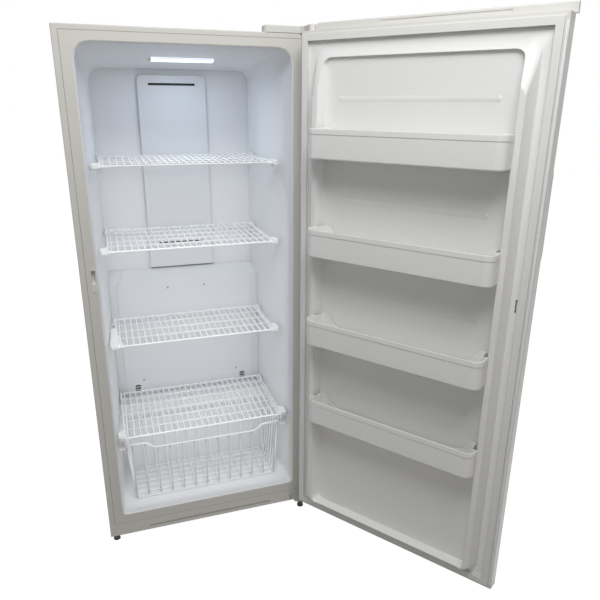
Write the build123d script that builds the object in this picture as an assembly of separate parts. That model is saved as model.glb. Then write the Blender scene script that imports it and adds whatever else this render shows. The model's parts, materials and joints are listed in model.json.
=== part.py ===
from build123d import *
import math
import os

os.makedirs("parts", exist_ok=True)

# An upright freezer with its door open. Millimetres, +Z up, +X to the hinge side, +Y to the back.
# The origin is on the floor, under the centre of the cabinet.
# A depth is counted back from the front flange of the cabinet, and is negative in front of it.

# ---------------------------------------------------------------- how round forms are drawn
CORNER_STEPS = 3
WIRE_SIDES = 4
FRAME_SIDES = 6
STUD_SIDES = 8
ROUND_SIDES = 16

# ---------------------------------------------------------------- cabinet
CAB_W = 826.0
CAB_D = 640.0
BASE_Z = 26.0
CAB_TOP = 1920.0
SHELL_T = 1.0
SHELL_EDGE_R = 5.0
FLANGE_SIDE = 20.0
FLANGE_TOP = 16.0
RAIL_TOP = 80.0
RAIL_T = 1.2
RAIL_RETURN = 30.0
RAIL_SLOT_W = 514.0
RAIL_SLOT_H = 9.0
RAIL_SLOT_DEPTH = 0.5
RAIL_SLOT_Z = 44.0
PAN_T = 1.2
BACK_T = 1.0
FOAM_SPLIT = 200.0

# ---------------------------------------------------------------- food space
SIDE_WALL = 58.5
TOP_WALL = 49.0
OPEN_HALF = CAB_W / 2 - SIDE_WALL
OPEN_BOTTOM = 122.0
OPEN_TOP = CAB_TOP - TOP_WALL
CAVITY_D = 545.0
REAR_INSET = 32.5
REAR_DROP = 48.0
REAR_HALF = OPEN_HALF - REAR_INSET
REAR_TOP = OPEN_TOP - REAR_DROP
TOP_CORNER_R = 48.0
FLOOR_CORNER_R = 14.0
LINER_T = 2.0
LIP_CHAMFER = 4.0
HUMP_FOOT_D = 310.0
HUMP_BROW_D = 335.0
HUMP_BROW_Z = 330.0
HUMP_TOP_D = 368.0
HUMP_TOP = 415.0
HUMP_WALL = 40.0

# ---------------------------------------------------------------- covers and light in the food space
EVAP_HALF = REAR_HALF - 27.0
EVAP_DEPTH = 96.0
EVAP_FACE_D = CAVITY_D - EVAP_DEPTH
EVAP_BEVEL_Z = 960.0
EVAP_TOP = 991.0
EVAP_CORNER_R = 30.0
EVAP_WALL = 2.5
RETURN_W = 24.0
RETURN_H = 36.0
RETURN_X = 243.0
RETURN_Z = 449.0
DUCT_HALF = 141.0
DUCT_TOP = REAR_TOP - 21.0
DUCT_DEPTH = 15.0
DUCT_WALL = 2.5
DUCT_CORNER_R = 22.0
DUCT_BEVEL = 3.0
AIR_SLOT_W = 190.0
AIR_SLOT_H = 9.0
AIR_SLOT_Z = (DUCT_TOP - 37.0, EVAP_TOP + 111.0)
LENS_W = 236.0
LENS_L = 72.0
LENS_T = 9.0
LENS_X = 15.0
LENS_D = 290.0
SCREW_HEAD = 9.0
SCREW_HEAD_T = 2.4
FACE_SCREW_X = 80.0
FACE_SCREW_DROP = 40.0
RETURN_SCREW_X = 215.0
RETURN_SCREW_RISE = 40.0

# ---------------------------------------------------------------- shelves and basket
WIRE = 4.0
FRAME_WIRE = 6.0
SHELF_Z = (1486.0, 1180.0, 806.0, 445.0)
SHELF_FRONT_D = (108.0, 108.0, 110.0, 40.0)
SHELF_REAR_GAP = 33.0
SHELF_REAR_D = (CAVITY_D - SHELF_REAR_GAP, CAVITY_D - SHELF_REAR_GAP, EVAP_FACE_D - 21.0, EVAP_FACE_D - 13.0)
SHELF_HALF = (REAR_HALF - 19.0, REAR_HALF - 19.0, REAR_HALF - 19.0, REAR_HALF - 6.0)
SHELF_ROW_COUNT = (6, 6, 5, 7)
SHELF_WIRES = 26
CAP_REACH = OPEN_HALF - 9.5
CAP_H = 15.0
CAP_LENGTH = 78.0
CAP_LENGTH_LONG = 210.0
CAP_WALL_GAP = 3.0
CAP_CORNER_R = 6.0
GUSSET_DROP = 42.0
GUSSET_T = 3.0
CAP_DROP = 4.0
LONG_CAP = (3, -1)
PEG_D = 12.0
PEG_LENGTH = 14.0
BASKET_RIM_Z = 391.0
BASKET_HALF = REAR_HALF + 5.0
BASKET_FRONT_D = 70.0
BASKET_REAR_D = 322.0
BASKET_FLOOR_Z = 132.0
BASKET_FLOOR_HALF = REAR_HALF - 25.0
BASKET_FLOOR_REAR_D = 298.0
BASKET_WIRES = 13
BASKET_ROWS = 7
DIP_DEPTH = 26.0
DIP_OUTER = 240.0
DIP_INNER = 213.0
RUNNER_T = 12.0
RUNNER_OVERLAP = 2.4
RUNNER_BEVEL = 4.0

# ---------------------------------------------------------------- door
DOOR_HALF = CAB_W / 2
DOOR_GAP = 12.0
DOOR_T = 60.0
DOOR_BOTTOM = 84.0
DOOR_TOP_DROP = 2.0
DOOR_TOP = CAB_TOP - DOOR_TOP_DROP
DOOR_OPEN = 126.23
DOOR_SKIN = 1.0
DOOR_EDGE_R = 9.0
CAP_BAND = 20.0
CAP_WALL = 3.0
LIP_RISE = 28.0
LIP_TOP = DOOR_TOP + LIP_RISE
LIP_T = 12.0
LIP_END_X = DOOR_HALF - 23.5
LIP_OVERHANG = 6.0
LIP_CURL = 8.0
LIP_RECESS_X = (-252.0, 150.0)
LIP_RECESS_T = 1.5
LIP_RECESS_H = 8.0
CAP_SLOT_X = (-301.0, 322.0)
CAP_SLOT_W = 18.0
CAP_SLOT_D = (-22.0, -17.0)
BOTTOM_CAP_DROP = 14.0
BOTTOM_CAP_BAND = 14.0
PIN_INSET_X = 8.5
PIN_D = -61.0
PIN_DIAMETER = 8.0
PIN_FIT = 0.05
SEAL_RUN = 0.3
GASKET_INSET = 8.0
GASKET_OUTER = DOOR_HALF - GASKET_INSET
GASKET_W = 26.0
GASKET_BOTTOM = DOOR_BOTTOM + 14.0
GASKET_TOP = DOOR_TOP - 9.0
GASKET_BASE_T = 3.5
GASKET_NECK_T = 3.5
DYKE_HALF = OPEN_HALF + 1.5
DYKE_BOTTOM = OPEN_BOTTOM + 10.0
DYKE_TOP = OPEN_TOP - 10.0
DYKE_H = 42.0
DYKE_TAPER = 16.0
DYKE_R = 40.0
RECESS_HALF = DYKE_HALF - 40.0
RECESS_BOTTOM = DYKE_BOTTOM + 18.0
RECESS_TOP = DYKE_TOP - 28.0
DYKE_RIDGE_TOP = RECESS_TOP - 91.0
RECESS_TAPER = 5.0
RECESS_R = 26.0
DOOR_LINER_T = 2.0
RIB_HALF = RECESS_HALF - 50.0
RIB_H = 24.0
RIB_PROUD = 2.5
RIB_SLOPE = 6.0
RIB_ABOVE_BIN = 91.0

# ---------------------------------------------------------------- door bins
BIN_TOP_GAP = 215.0
BIN_PITCH = 327.5
BIN_RIM_Z = tuple(RECESS_TOP - BIN_TOP_GAP - BIN_PITCH * step for step in range(4))
BIN_FRONT = (104.0, 104.0, 104.0, 82.0)
BIN_H = 97.0
BIN_HALF = RECESS_HALF + 6.0
BIN_INNER_HALF = RECESS_HALF - 10.0
BIN_BACK = 3.0
BIN_STEP = 45.0
BIN_CORNER_R = 30.0
BIN_WALL = 2.5
BIN_BAND = 17.5
BIN_BAND_PROUD = 1.5
BIN_BEVEL = 1.8
BIN_EAR = 58.0
BIN_EAR_DROP = 48.0
BIN_ARCH_R = 44.0
HOOK_OUT = 7.0
HOOK_W = 22.0
HOOK_H = 16.0
HOOK_Z = 40.0
HOOK_MID = 24.0
LUG_CLEAR = 0.3
LUG_BEVEL = 5.0
LUG_INSET = 2.0

# ---------------------------------------------------------------- lock and handle
LOCK_Z = 1126.0
LOCK_INSET = 28.0
LOCK_X = LOCK_INSET - DOOR_HALF
BARREL = 14.0
BARREL_LENGTH = 34.0
BARREL_PROUD = 3.0
HOUSING_X = (LOCK_X - 13.0, LOCK_X + 19.0)
HOUSING_Z = (1092.0, 1160.0)
SLOT_X = LOCK_X + 12.0
SLOT_W = 5.0
SLOT_Z = (1106.0, 1146.0)
HOOK_PIVOT_Z = 1112.0
HOOK_PIVOT_D = -20.0
HOOK_ARM = 30.0
HOOK_T = 2.0
HOOK_BLADE_W = 7.0
KEEPER_X = (LOCK_X + 7.0, LOCK_X + 27.0)
KEEPER_Z = (1062.0, 1154.0)
KEEPER_HOLE_Z = (1090.0, 1141.0)
KEEPER_HOLE_W = 13.0
KEEPER_T = 1.6
KEEPER_BOX_D = 16.0
HANDLE_X = LOCK_X - 5.0
HANDLE_W = 26.0
HANDLE_Z = (1247.0, 1521.0)
HANDLE_OUT = 45.0
HANDLE_T = 14.0
HANDLE_POST = 30.0
HANDLE_END_R = 22.0

# ---------------------------------------------------------------- hinges, feet and rollers
HINGE_PLATE_T = 4.0
HINGE_NOSE_R = 13.0
HINGE_COVER_LEFT = CAB_W / 2 - 156.0
HINGE_COVER_BACK_D = 46.0
HINGE_COVER_RISE = 23.0
HINGE_COVER_TOP = CAB_TOP + HINGE_COVER_RISE
HINGE_COVER_WALL = 2.5
HINGE_COVER_BEVEL = 6.0
HINGE_SCREW_X = (CAB_W / 2 - 103.0, CAB_W / 2 - 68.0, CAB_W / 2 - 33.0)
HINGE_SCREW_D = 22.0
HINGE_PLATE_LEFT = HINGE_COVER_LEFT + 35.0
BRACKET_TOP = 60.0
BRACKET_T = 3.0
BRACKET_LEFT = CAB_W / 2 - 69.0
BRACKET_LEG_Z = 32.0
BRACKET_BOLT_X = (BRACKET_LEFT + 8.0, BRACKET_LEFT + 28.0)
BRACKET_BOLT_Z = 42.0
FOOT_LEFT = (23.0 - CAB_W / 2, 20.0)
FOOT_RIGHT = (CAB_W / 2 - 23.5, -12.0)
FOOT_D = 28.0
FOOT_TOP_D = 20.0
FOOT_H = 22.0
STEM_D = 8.0
STEM_TOP_LEFT = 48.0
STEM_TOP_RIGHT = 65.0
ROLLER_DIAMETER = 38.0
ROLLER_W = 20.0
ROLLER_X = CAB_W / 2 - 73.0
ROLLER_D = CAB_D - 50.0
AXLE_D = 6.0
ROLLER_BRACKET_T = 1.6
ROLLER_SIDE_GAP = 1.0

# ---------------------------------------------------------------- machine compartment
TRAY_Z = 42.0
TRAY_T = 1.5
TRAY_LIP = 14.0
TRAY_GAP = 2.0
COMPRESSOR_X = 175.0
COMPRESSOR_D = 500.0
COMPRESSOR_R = 78.0
COMPRESSOR_H = 165.0
COMPRESSOR_DOME = 60.0
COMPRESSOR_SEAM = 84.0
COMPRESSOR_TUBES = ((-44.0, 128.0), (0.0, 150.0), (44.0, 110.0))
RELAY_SIZE = (44.0, 56.0, 62.0)
RELAY_RISE = 74.0
MOUNT_H = 14.0
MOUNT_D = 24.0
MOUNT_PITCH_X = 150.0
MOUNT_PITCH_Y = 96.0
CONDENSER_X = (-380.0, -235.0)
CONDENSER_TUBE = 6.0
CONDENSER_ROWS = 6
CONDENSER_PITCH = 44.0
CONDENSER_LOW = 24.0
CONDENSER_END = 14.0
CONDENSER_PLATES = 4
CONDENSER_REACH = 24.0
FAN_X = -175.0
FAN_R = 70.0
FAN_BLADES = 5
FAN_HUB_R = 18.0
FAN_DEPTH = 24.0
PAN_X = (-130.0, 60.0)
PAN_H = 34.0
PAN_WALL = 2.0
PAN_BEVEL = 9.0
LOUVRE_W = 150.0
LOUVRE_H = 6.0
LOUVRE_LOW = 112.0
LOUVRE_PITCH = 40.0
LOUVRE_ROWS = 5
LOUVRE_COLUMNS = (-270.0, -90.0, 90.0, 270.0)
BOX_SIZE = (80.0, 60.0, 110.0)
BOX_X = CAB_W / 2 - 58.0
GLAND_D = 18.0

# ---------------------------------------------------------------- evaporator
COIL_HALF = 220.0
COIL_Z = (500.0, 740.0)
COIL_DEPTH = 52.0
COIL_TUBE = 9.0
COIL_ROWS = 4
COIL_FINS = 4
COIL_END = 12.0
FIN_T = 1.0
HEATER_TUBE = 8.0
HEATER_Z = 478.0
EVAP_FAN_Z = 880.0
EVAP_FAN_R = 52.0
EVAP_FAN_DEPTH = 18.0
MOTOR_R = 24.0
MOTOR_LENGTH = 40.0

# ---------------------------------------------------------------- derived places
FRONT_Y = -CAB_D / 2
CAB_HALF = CAB_W / 2
PIN_X = CAB_HALF - PIN_INSET_X
FACE_D = -DOOR_GAP
OUTER_D = FACE_D - DOOR_T
LINER_REAR_D = CAVITY_D + LINER_T
ROOM_FRONT_D = HUMP_FOOT_D + HUMP_WALL
ROOM_TOP = HUMP_TOP - HUMP_WALL
FAN_DEPTH_AT = (ROOM_FRONT_D + CAB_D) / 2 - 20


def y_at(depth):
    """The place along Y of a depth behind the front flange."""
    return FRONT_Y + depth


def block(x, depth, z):
    """A box between two places on each axis, with its depths counted from the front flange."""
    centre = Pos((x[0] + x[1]) / 2, y_at((depth[0] + depth[1]) / 2), (z[0] + z[1]) / 2)
    return centre * Box(x[1] - x[0], depth[1] - depth[0], z[1] - z[0])


def facing(depth):
    """A drawing plane seen from the front, whose own x and y are X and Z."""
    return Plane(origin=(0, y_at(depth), 0), x_dir=(1, 0, 0), z_dir=(0, -1, 0))


def level(z):
    """A drawing plane seen from above, whose own x and y are X and Y."""
    return Plane(origin=(0, 0, z), x_dir=(1, 0, 0), z_dir=(0, 0, 1))


def sideways(x):
    """A drawing plane seen from the right, whose own x and y are Y and Z."""
    return Plane(origin=(x, 0, 0), x_dir=(0, 1, 0), z_dir=(1, 0, 0))


def panel(face, front, back):
    """A face drawn from the front, made solid between two depths."""
    return extrude(facing(back) * face, back - front)


def arc_points(corner, before, after, radius):
    """Points on the arc that rounds a corner between the directions of its two sides."""
    size = math.hypot(*before)
    one = (before[0] / size, before[1] / size)
    size = math.hypot(*after)
    two = (after[0] / size, after[1] / size)
    half = math.acos(one[0] * two[0] + one[1] * two[1]) / 2
    reach = radius / math.tan(half)
    mid = (one[0] + two[0], one[1] + two[1])
    scale = radius / math.sin(half) / math.hypot(*mid)
    centre = (corner[0] + mid[0] * scale, corner[1] + mid[1] * scale)
    first = math.atan2(corner[1] + one[1] * reach - centre[1], corner[0] + one[0] * reach - centre[0])
    last = math.atan2(corner[1] + two[1] * reach - centre[1], corner[0] + two[0] * reach - centre[0])
    sweep = (last - first + math.pi) % math.tau - math.pi
    turns = [first + sweep * step / CORNER_STEPS for step in range(CORNER_STEPS + 1)]
    return [(centre[0] + radius * math.cos(turn), centre[1] + radius * math.sin(turn)) for turn in turns]


def eased_line(points, radii):
    """A closed line whose corners are rounded, each to its own radius, by short chords."""
    line = []
    for i, corner in enumerate(points):
        if radii[i] == 0:
            line.append(corner)
            continue
        ahead = points[(i + 1) % len(points)]
        before = (points[i - 1][0] - corner[0], points[i - 1][1] - corner[1])
        after = (ahead[0] - corner[0], ahead[1] - corner[1])
        line.extend(arc_points(corner, before, after, radii[i]))
    return line


def eased(points, radii):
    """The face inside such a line."""
    return outline(eased_line(points, radii))


def window(half, z, top_r, bottom_r, middle=0.0):
    """A rectangle seen from the front with rounded corners."""
    left = middle - half
    right = middle + half
    return eased([(left, z[0]), (right, z[0]), (right, z[1]), (left, z[1])], [bottom_r, bottom_r, top_r, top_r])


def funnel(front, front_face, back, back_face):
    """A solid that changes evenly from one face to another over a depth."""
    return loft([facing(back) * back_face, facing(front) * front_face], ruled=True)


def rod(start, end, diameter, sides=None):
    """A bar between two points, round or with a number of flat sides."""
    run = Vector(*end) - Vector(*start)
    section = RegularPolygon(diameter / 2, sides) if sides else Circle(diameter / 2)
    return extrude(Plane(origin=start, z_dir=run) * section, run.length)


def across(x, depth, z, diameter, sides=None):
    """A bar along X."""
    return rod((x[0], y_at(depth), z), (x[1], y_at(depth), z), diameter, sides)


def inward(x, depth, z, diameter, sides=None):
    """A bar along the depth."""
    return rod((x, y_at(depth[0]), z), (x, y_at(depth[1]), z), diameter, sides)


def upright(x, depth, z, diameter, sides=None):
    """A bar along Z."""
    return rod((x, y_at(depth), z[0]), (x, y_at(depth), z[1]), diameter, sides)


def drum(place, low, low_r, high, high_r):
    """A many-sided drum between two heights, whose radius changes evenly."""
    lean = math.atan((low_r - high_r) * math.cos(math.pi / ROUND_SIDES) / (high - low))
    section = Pos(place[0], y_at(place[1]), low) * RegularPolygon(low_r, ROUND_SIDES)
    return extrude(section, high - low, dir=(0, 0, 1), taper=math.degrees(lean))


def outline(points):
    """A face on straight lines through a list of points."""
    return make_face(Polyline(*points, close=True))


def plan(points, z):
    """A solid drawn from above through (x, depth) points, between two heights."""
    face = outline([(x, y_at(depth)) for x, depth in points])
    return extrude(level(z[0]) * face, z[1] - z[0])


def solids_of(things):
    """Every solid of a list of shapes."""
    found = []
    for thing in things:
        found.extend(thing.solids())
    return found


def save(name, *things):
    """Write one named sub-part."""
    solids = solids_of(things)
    shape = solids[0] if len(solids) == 1 else Compound(solids)
    export_step(shape, "parts/" + name + ".step")


def hang(name, *things):
    """Write one sub-part of the door, swung open about the hinge pins."""
    pin = Pos(PIN_X, y_at(PIN_D), 0)
    swing = pin * Rot(0, 0, DOOR_OPEN) * pin.inverse()
    save(name, *[swing * solid for solid in solids_of(things)])


def wall_x(depth):
    """Half the width of the food space at a depth."""
    return OPEN_HALF - (OPEN_HALF - REAR_HALF) * depth / CAVITY_D


def ceiling_z(depth):
    """The height of the food space at a depth."""
    return OPEN_TOP - (OPEN_TOP - REAR_TOP) * depth / CAVITY_D


# ================================================================ cabinet
def food_space(grow):
    """The lined space with its bevelled mouth, grown on every side but the front."""
    def section(half, low, top, extra):
        return window(half + grow, (low - grow, top + grow), TOP_CORNER_R + extra + grow,
                      FLOOR_CORNER_R + extra + grow)

    mouth = section(OPEN_HALF + LIP_CHAMFER, OPEN_BOTTOM - LIP_CHAMFER, OPEN_TOP + LIP_CHAMFER, LIP_CHAMFER)
    throat = section(wall_x(LIP_CHAMFER), OPEN_BOTTOM, ceiling_z(LIP_CHAMFER), 0)
    rear = section(wall_x(CAVITY_D + grow), OPEN_BOTTOM, ceiling_z(CAVITY_D + grow), 0)
    return loft([facing(CAVITY_D + grow) * rear, facing(LIP_CHAMFER) * throat, facing(0) * mouth], ruled=True)


def hump_profile():
    """The step over the machine compartment, drawn past the floor and the rear wall."""
    past = 80.0
    face = outline([
        (y_at(HUMP_FOOT_D), OPEN_BOTTOM - past),
        (y_at(HUMP_FOOT_D), OPEN_BOTTOM),
        (y_at(HUMP_BROW_D), HUMP_BROW_Z),
        (y_at(HUMP_TOP_D), HUMP_TOP),
        (y_at(CAVITY_D + past), HUMP_TOP),
        (y_at(CAVITY_D + past), OPEN_BOTTOM - past),
    ])
    return face


def round_front(body, radius):
    """Rounds the upright front edges and the top front edge of a box."""
    upright_edges = body.edges().filter_by(Axis.Z).sort_by(Axis.Y)[:2]
    top_edge = body.edges().filter_by(Axis.X).group_by(Axis.Z)[-1].sort_by(Axis.Y)[:1]
    return fillet(upright_edges + top_edge, radius)


def outer_shell():
    body = block((-CAB_HALF, CAB_HALF), (0, CAB_D), (BASE_Z, CAB_TOP))
    inner = CAB_HALF - SHELL_T
    hollow = block((-inner, inner), (SHELL_T, CAB_D + 1), (BASE_Z - 1, CAB_TOP - SHELL_T))
    body = round_front(body, SHELL_EDGE_R) - round_front(hollow, SHELL_EDGE_R - SHELL_T)
    mouth = CAB_HALF - FLANGE_SIDE
    body -= block((-mouth, mouth), (-1, SHELL_T + 1), (BASE_Z - 1, CAB_TOP - FLANGE_TOP))
    save("outer_shell", body)


def front_rail():
    mouth = CAB_HALF - FLANGE_SIDE
    rail = block((-mouth, mouth), (0, RAIL_T), (BASE_Z, RAIL_TOP))
    rail += block((-mouth, mouth), (0, RAIL_RETURN), (BASE_Z, BASE_Z + RAIL_T))
    slot_z = (RAIL_SLOT_Z - RAIL_SLOT_H / 2, RAIL_SLOT_Z + RAIL_SLOT_H / 2)
    slot = window(RAIL_SLOT_W / 2, slot_z, RAIL_SLOT_H / 2 - 0.1, RAIL_SLOT_H / 2 - 0.1)
    rail -= panel(slot, -1, RAIL_SLOT_DEPTH)
    rail -= upright(FOOT_LEFT[0], FOOT_LEFT[1], (BASE_Z - 1, BASE_Z + RAIL_T + 1), STEM_D + 2 * PIN_FIT)
    save("front_rail", rail)


def room_line(gap):
    """The front and ceiling of the machine compartment in (depth, z), moved out by a gap."""
    return [
        (ROOM_FRONT_D - gap, BASE_Z),
        (ROOM_FRONT_D - gap, HUMP_BROW_Z - HUMP_WALL + gap / 2),
        (ROOM_FRONT_D + HUMP_WALL - gap, ROOM_TOP + gap),
        (CAB_D - BACK_T, ROOM_TOP + gap),
    ]


def room_solid(gap):
    """The machine compartment as a solid across the cabinet."""
    inner = CAB_HALF - SHELL_T
    points = room_line(gap) + [(CAB_D - BACK_T, BASE_Z)]
    face = outline([(y_at(depth), z) for depth, z in points])
    return extrude(sideways(-inner) * face, 2 * inner)


def base_pan():
    """The bent steel sheet under the insulation and over the machine compartment."""
    inner = CAB_HALF - SHELL_T
    step = room_solid(PAN_T) - room_solid(0)
    floor = block((-inner, inner), (RAIL_RETURN, ROOM_FRONT_D - PAN_T), (BASE_Z, BASE_Z + PAN_T))
    save("base_pan", step + floor)


def back_panel():
    inner = CAB_HALF - SHELL_T
    save("back_panel", block((-inner, inner), (CAB_D - BACK_T, CAB_D), (ROOM_TOP, CAB_TOP - SHELL_T)))


def keeper_pocket(grow):
    """The hole in the flange that takes the keeper's box."""
    middle = (KEEPER_X[0] + KEEPER_X[1]) / 2
    half = KEEPER_HOLE_W / 2 + KEEPER_T + grow
    z = (KEEPER_HOLE_Z[0] - KEEPER_T - grow, KEEPER_HOLE_Z[1] + KEEPER_T + grow)
    return block((middle - half, middle + half), (-1, KEEPER_BOX_D + grow), z)


def inner_liner():
    flange_half = CAB_HALF - FLANGE_SIDE
    flange = block((-flange_half, flange_half), (0, LINER_T), (RAIL_TOP, CAB_TOP - FLANGE_TOP))
    under_hump = extrude(sideways(-CAB_HALF) * offset(hump_profile(), -LINER_T), CAB_W)
    hump = extrude(sideways(-CAB_HALF) * hump_profile(), CAB_W)
    room = food_space(0) - hump
    body = flange + (food_space(LINER_T) - under_hump)
    body = body - room
    body -= keeper_pocket(0.2)
    save("inner_liner", body)


def cabinet_foam():
    """The insulation, in slabs that meet at the corners of the food space."""
    inner = CAB_HALF - SHELL_T
    lined = food_space(LINER_T)
    under_hump = extrude(sideways(-CAB_HALF) * offset(hump_profile(), -LINER_T), CAB_W)
    all_foam = block((-inner, inner), (LINER_T, CAB_D - BACK_T), (BASE_Z + PAN_T, CAB_TOP - SHELL_T))
    all_foam = round_front(all_foam, SHELL_EDGE_R - SHELL_T)
    all_foam -= lined - under_hump
    all_foam -= room_solid(PAN_T)
    all_foam -= keeper_pocket(0.4)
    all_foam -= upright(FOOT_LEFT[0], FOOT_LEFT[1], (BASE_Z, STEM_TOP_LEFT + 1), STEM_D + 2)
    high = CAB_TOP + 1
    slabs = []
    for side in (-1, 1):
        wedge = plan([(side * CAB_HALF, 0), (side * (OPEN_HALF + LINER_T), 0),
                      (side * (REAR_HALF + LINER_T), LINER_REAR_D),
                      (side * CAB_HALF, LINER_REAR_D)], (0, high))
        slabs.append(all_foam & wedge)
        all_foam -= wedge
    rear = block((-CAB_HALF, CAB_HALF), (LINER_REAR_D, CAB_D), (HUMP_TOP - LINER_T, high))
    slabs.append(all_foam & rear)
    all_foam -= rear
    upper = block((-CAB_HALF, CAB_HALF), (0, CAB_D), (OPEN_TOP - FOAM_SPLIT, high))
    slabs.append(all_foam & upper)
    all_foam -= upper
    foot = block((-CAB_HALF, CAB_HALF), (0, CAB_D), (0, OPEN_BOTTOM - LINER_T))
    slabs.append(all_foam & foot)
    all_foam -= foot
    brow = block((-CAB_HALF, CAB_HALF), (0, CAB_D), (0, HUMP_BROW_Z - HUMP_WALL))
    slabs.append(all_foam & brow)
    slabs.append(all_foam - brow)
    save("cabinet_foam", *slabs)


# ================================================================ inside the food space
def evaporator_cover():
    """A tray over the cooling coil, with a bevelled top and rounded upper corners."""
    bottom = HUMP_TOP + SEAL_RUN

    def body(shrink):
        front = window(EVAP_HALF - shrink, (bottom + shrink, EVAP_BEVEL_Z - shrink), EVAP_CORNER_R, 4)
        rear = window(EVAP_HALF - shrink, (bottom + shrink, EVAP_TOP - shrink), EVAP_CORNER_R, 4)
        return funnel(EVAP_FACE_D + shrink, front, CAVITY_D - SEAL_RUN + (1 if shrink else 0), rear)

    cover = body(0) - body(EVAP_WALL)
    for side in (-1, 1):
        for part in (-1, 0, 1):
            z = RETURN_Z + part * RETURN_H / 3
            slot = Pos(side * RETURN_X, z) * Rectangle(RETURN_W, RETURN_H / 3 - 4)
            cover -= panel(slot, EVAP_FACE_D - 1, EVAP_FACE_D + EVAP_WALL + 1)
    save("evaporator_cover", cover)


def cover_screws():
    heads = (EVAP_FACE_D - SCREW_HEAD_T, EVAP_FACE_D)
    screws = []
    for side in (-1, 1):
        screws.append(inward(side * FACE_SCREW_X, heads, EVAP_BEVEL_Z - FACE_SCREW_DROP, SCREW_HEAD, STUD_SIDES))
        screws.append(inward(side * RETURN_SCREW_X, heads, RETURN_Z + RETURN_SCREW_RISE, SCREW_HEAD, STUD_SIDES))
    save("cover_screws", *screws)


def duct_cover():
    bottom = EVAP_TOP + 2
    rear = CAVITY_D - SEAL_RUN
    face_d = rear - DUCT_DEPTH
    outer = panel(window(DUCT_HALF, (bottom, DUCT_TOP), DUCT_CORNER_R, 4), face_d, rear)
    front = outer.faces().sort_by(Axis.Y)[0]
    outer = chamfer(front.edges(), DUCT_BEVEL)
    inner = window(DUCT_HALF - DUCT_WALL, (bottom - 1, DUCT_TOP - DUCT_WALL), DUCT_CORNER_R - DUCT_WALL, 3)
    cover = outer - panel(inner, face_d + DUCT_WALL, rear + 1)
    for z in AIR_SLOT_Z:
        slot = Pos(0, z) * Rectangle(AIR_SLOT_W, AIR_SLOT_H)
        cover -= panel(slot, face_d - 1, face_d + DUCT_WALL + 1)
    save("duct_cover", cover)


def light_lens():
    slope = math.degrees(math.atan((OPEN_TOP - REAR_TOP) / CAVITY_D))
    lens = Box(LENS_W, LENS_L, LENS_T)
    lens = chamfer(lens.edges().filter_by(Axis.Z), LENS_T)
    lens = chamfer(lens.faces().sort_by(Axis.Z)[0].edges(), LENS_T / 2)
    seat = Pos(LENS_X, y_at(LENS_D), ceiling_z(LENS_D)) * Rot(-slope, 0, 0)
    save("light_lens", seat * Pos(0, 0, -LENS_T / 2 - SEAL_RUN) * lens)


def evaporator_coil():
    """A serpentine tube through fins, held by two end plates on the rear wall."""
    depth = (EVAP_FACE_D + EVAP_WALL + CAVITY_D) / 2
    pitch = (COIL_Z[1] - COIL_Z[0]) / COIL_ROWS
    end_x = COIL_HALF + COIL_END
    coil = None
    for row in range(COIL_ROWS):
        z = COIL_Z[0] + (row + 0.5) * pitch
        tube = across((-end_x, end_x), depth, z, COIL_TUBE, 4)
        coil = tube if coil is None else coil + tube
        if row:
            link_x = (end_x if row % 2 else -end_x)
            coil += upright(link_x, depth, (z - pitch, z), COIL_TUBE, 4)
    for fin in range(COIL_FINS):
        x = -COIL_HALF + (fin + 0.5) * 2 * COIL_HALF / COIL_FINS
        coil += block((x - FIN_T / 2, x + FIN_T / 2), (depth - COIL_DEPTH / 2, depth + COIL_DEPTH / 2), COIL_Z)
    for side in (-1, 1):
        x = side * (COIL_HALF + COIL_END / 3)
        coil += block((x - FIN_T, x + FIN_T), (depth - COIL_DEPTH / 2, CAVITY_D - SEAL_RUN), COIL_Z)
    save("evaporator_coil", coil)


def defrost_heater():
    depth = (EVAP_FACE_D + EVAP_WALL + CAVITY_D) / 2
    heater = across((-COIL_HALF, COIL_HALF), depth, HEATER_Z, HEATER_TUBE, STUD_SIDES)
    clips = []
    for side in (-1, 1):
        x = side * (COIL_HALF + 5)
        clips.append(block((x - 5, x + 5), (depth - 8, CAVITY_D - SEAL_RUN), (HEATER_Z - 9, HEATER_Z + 9)))
    save("defrost_heater", heater, *clips)


def propeller(radius, hub_r, depth, blades, bore):
    """A fan on the Z axis, with twisted blades."""
    fan = Pos(0, 0, -depth / 2) * extrude(RegularPolygon(hub_r, ROUND_SIDES // 2), depth)
    reach = Pos(0, 0, -depth / 2) * extrude(RegularPolygon(radius, ROUND_SIDES), depth)
    for blade in range(blades):
        arm = Box(radius - hub_r + 2, radius * 0.62, 2)
        arm = Pos((radius + hub_r) / 2 - 1, 0, 0) * Rot(28, 0, 0) * arm
        fan += Rot(0, 0, 360 / blades * blade) * (arm & reach)
    return fan - Cylinder(bore, depth + 2)


def evaporator_fan():
    motor_front = CAVITY_D - 6 - MOTOR_LENGTH
    fan_mid = motor_front - 3 - EVAP_FAN_DEPTH / 2
    place = Pos(0, y_at(fan_mid), EVAP_FAN_Z) * Rot(90, 0, 0)
    save("evaporator_fan", place * propeller(EVAP_FAN_R, 14, EVAP_FAN_DEPTH, FAN_BLADES, 3))
    motor = inward(0, (motor_front, motor_front + MOTOR_LENGTH), EVAP_FAN_Z, 2 * MOTOR_R, ROUND_SIDES)
    motor += inward(0, (fan_mid - EVAP_FAN_DEPTH / 2, motor_front), EVAP_FAN_Z, 6 - 2 * PIN_FIT)
    strap = block((-EVAP_FAN_R - 12, EVAP_FAN_R + 12), (motor_front + MOTOR_LENGTH, CAVITY_D - SEAL_RUN),
                  (EVAP_FAN_Z - 12, EVAP_FAN_Z + 12))
    save("evaporator_fan_motor", motor + strap)


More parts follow.
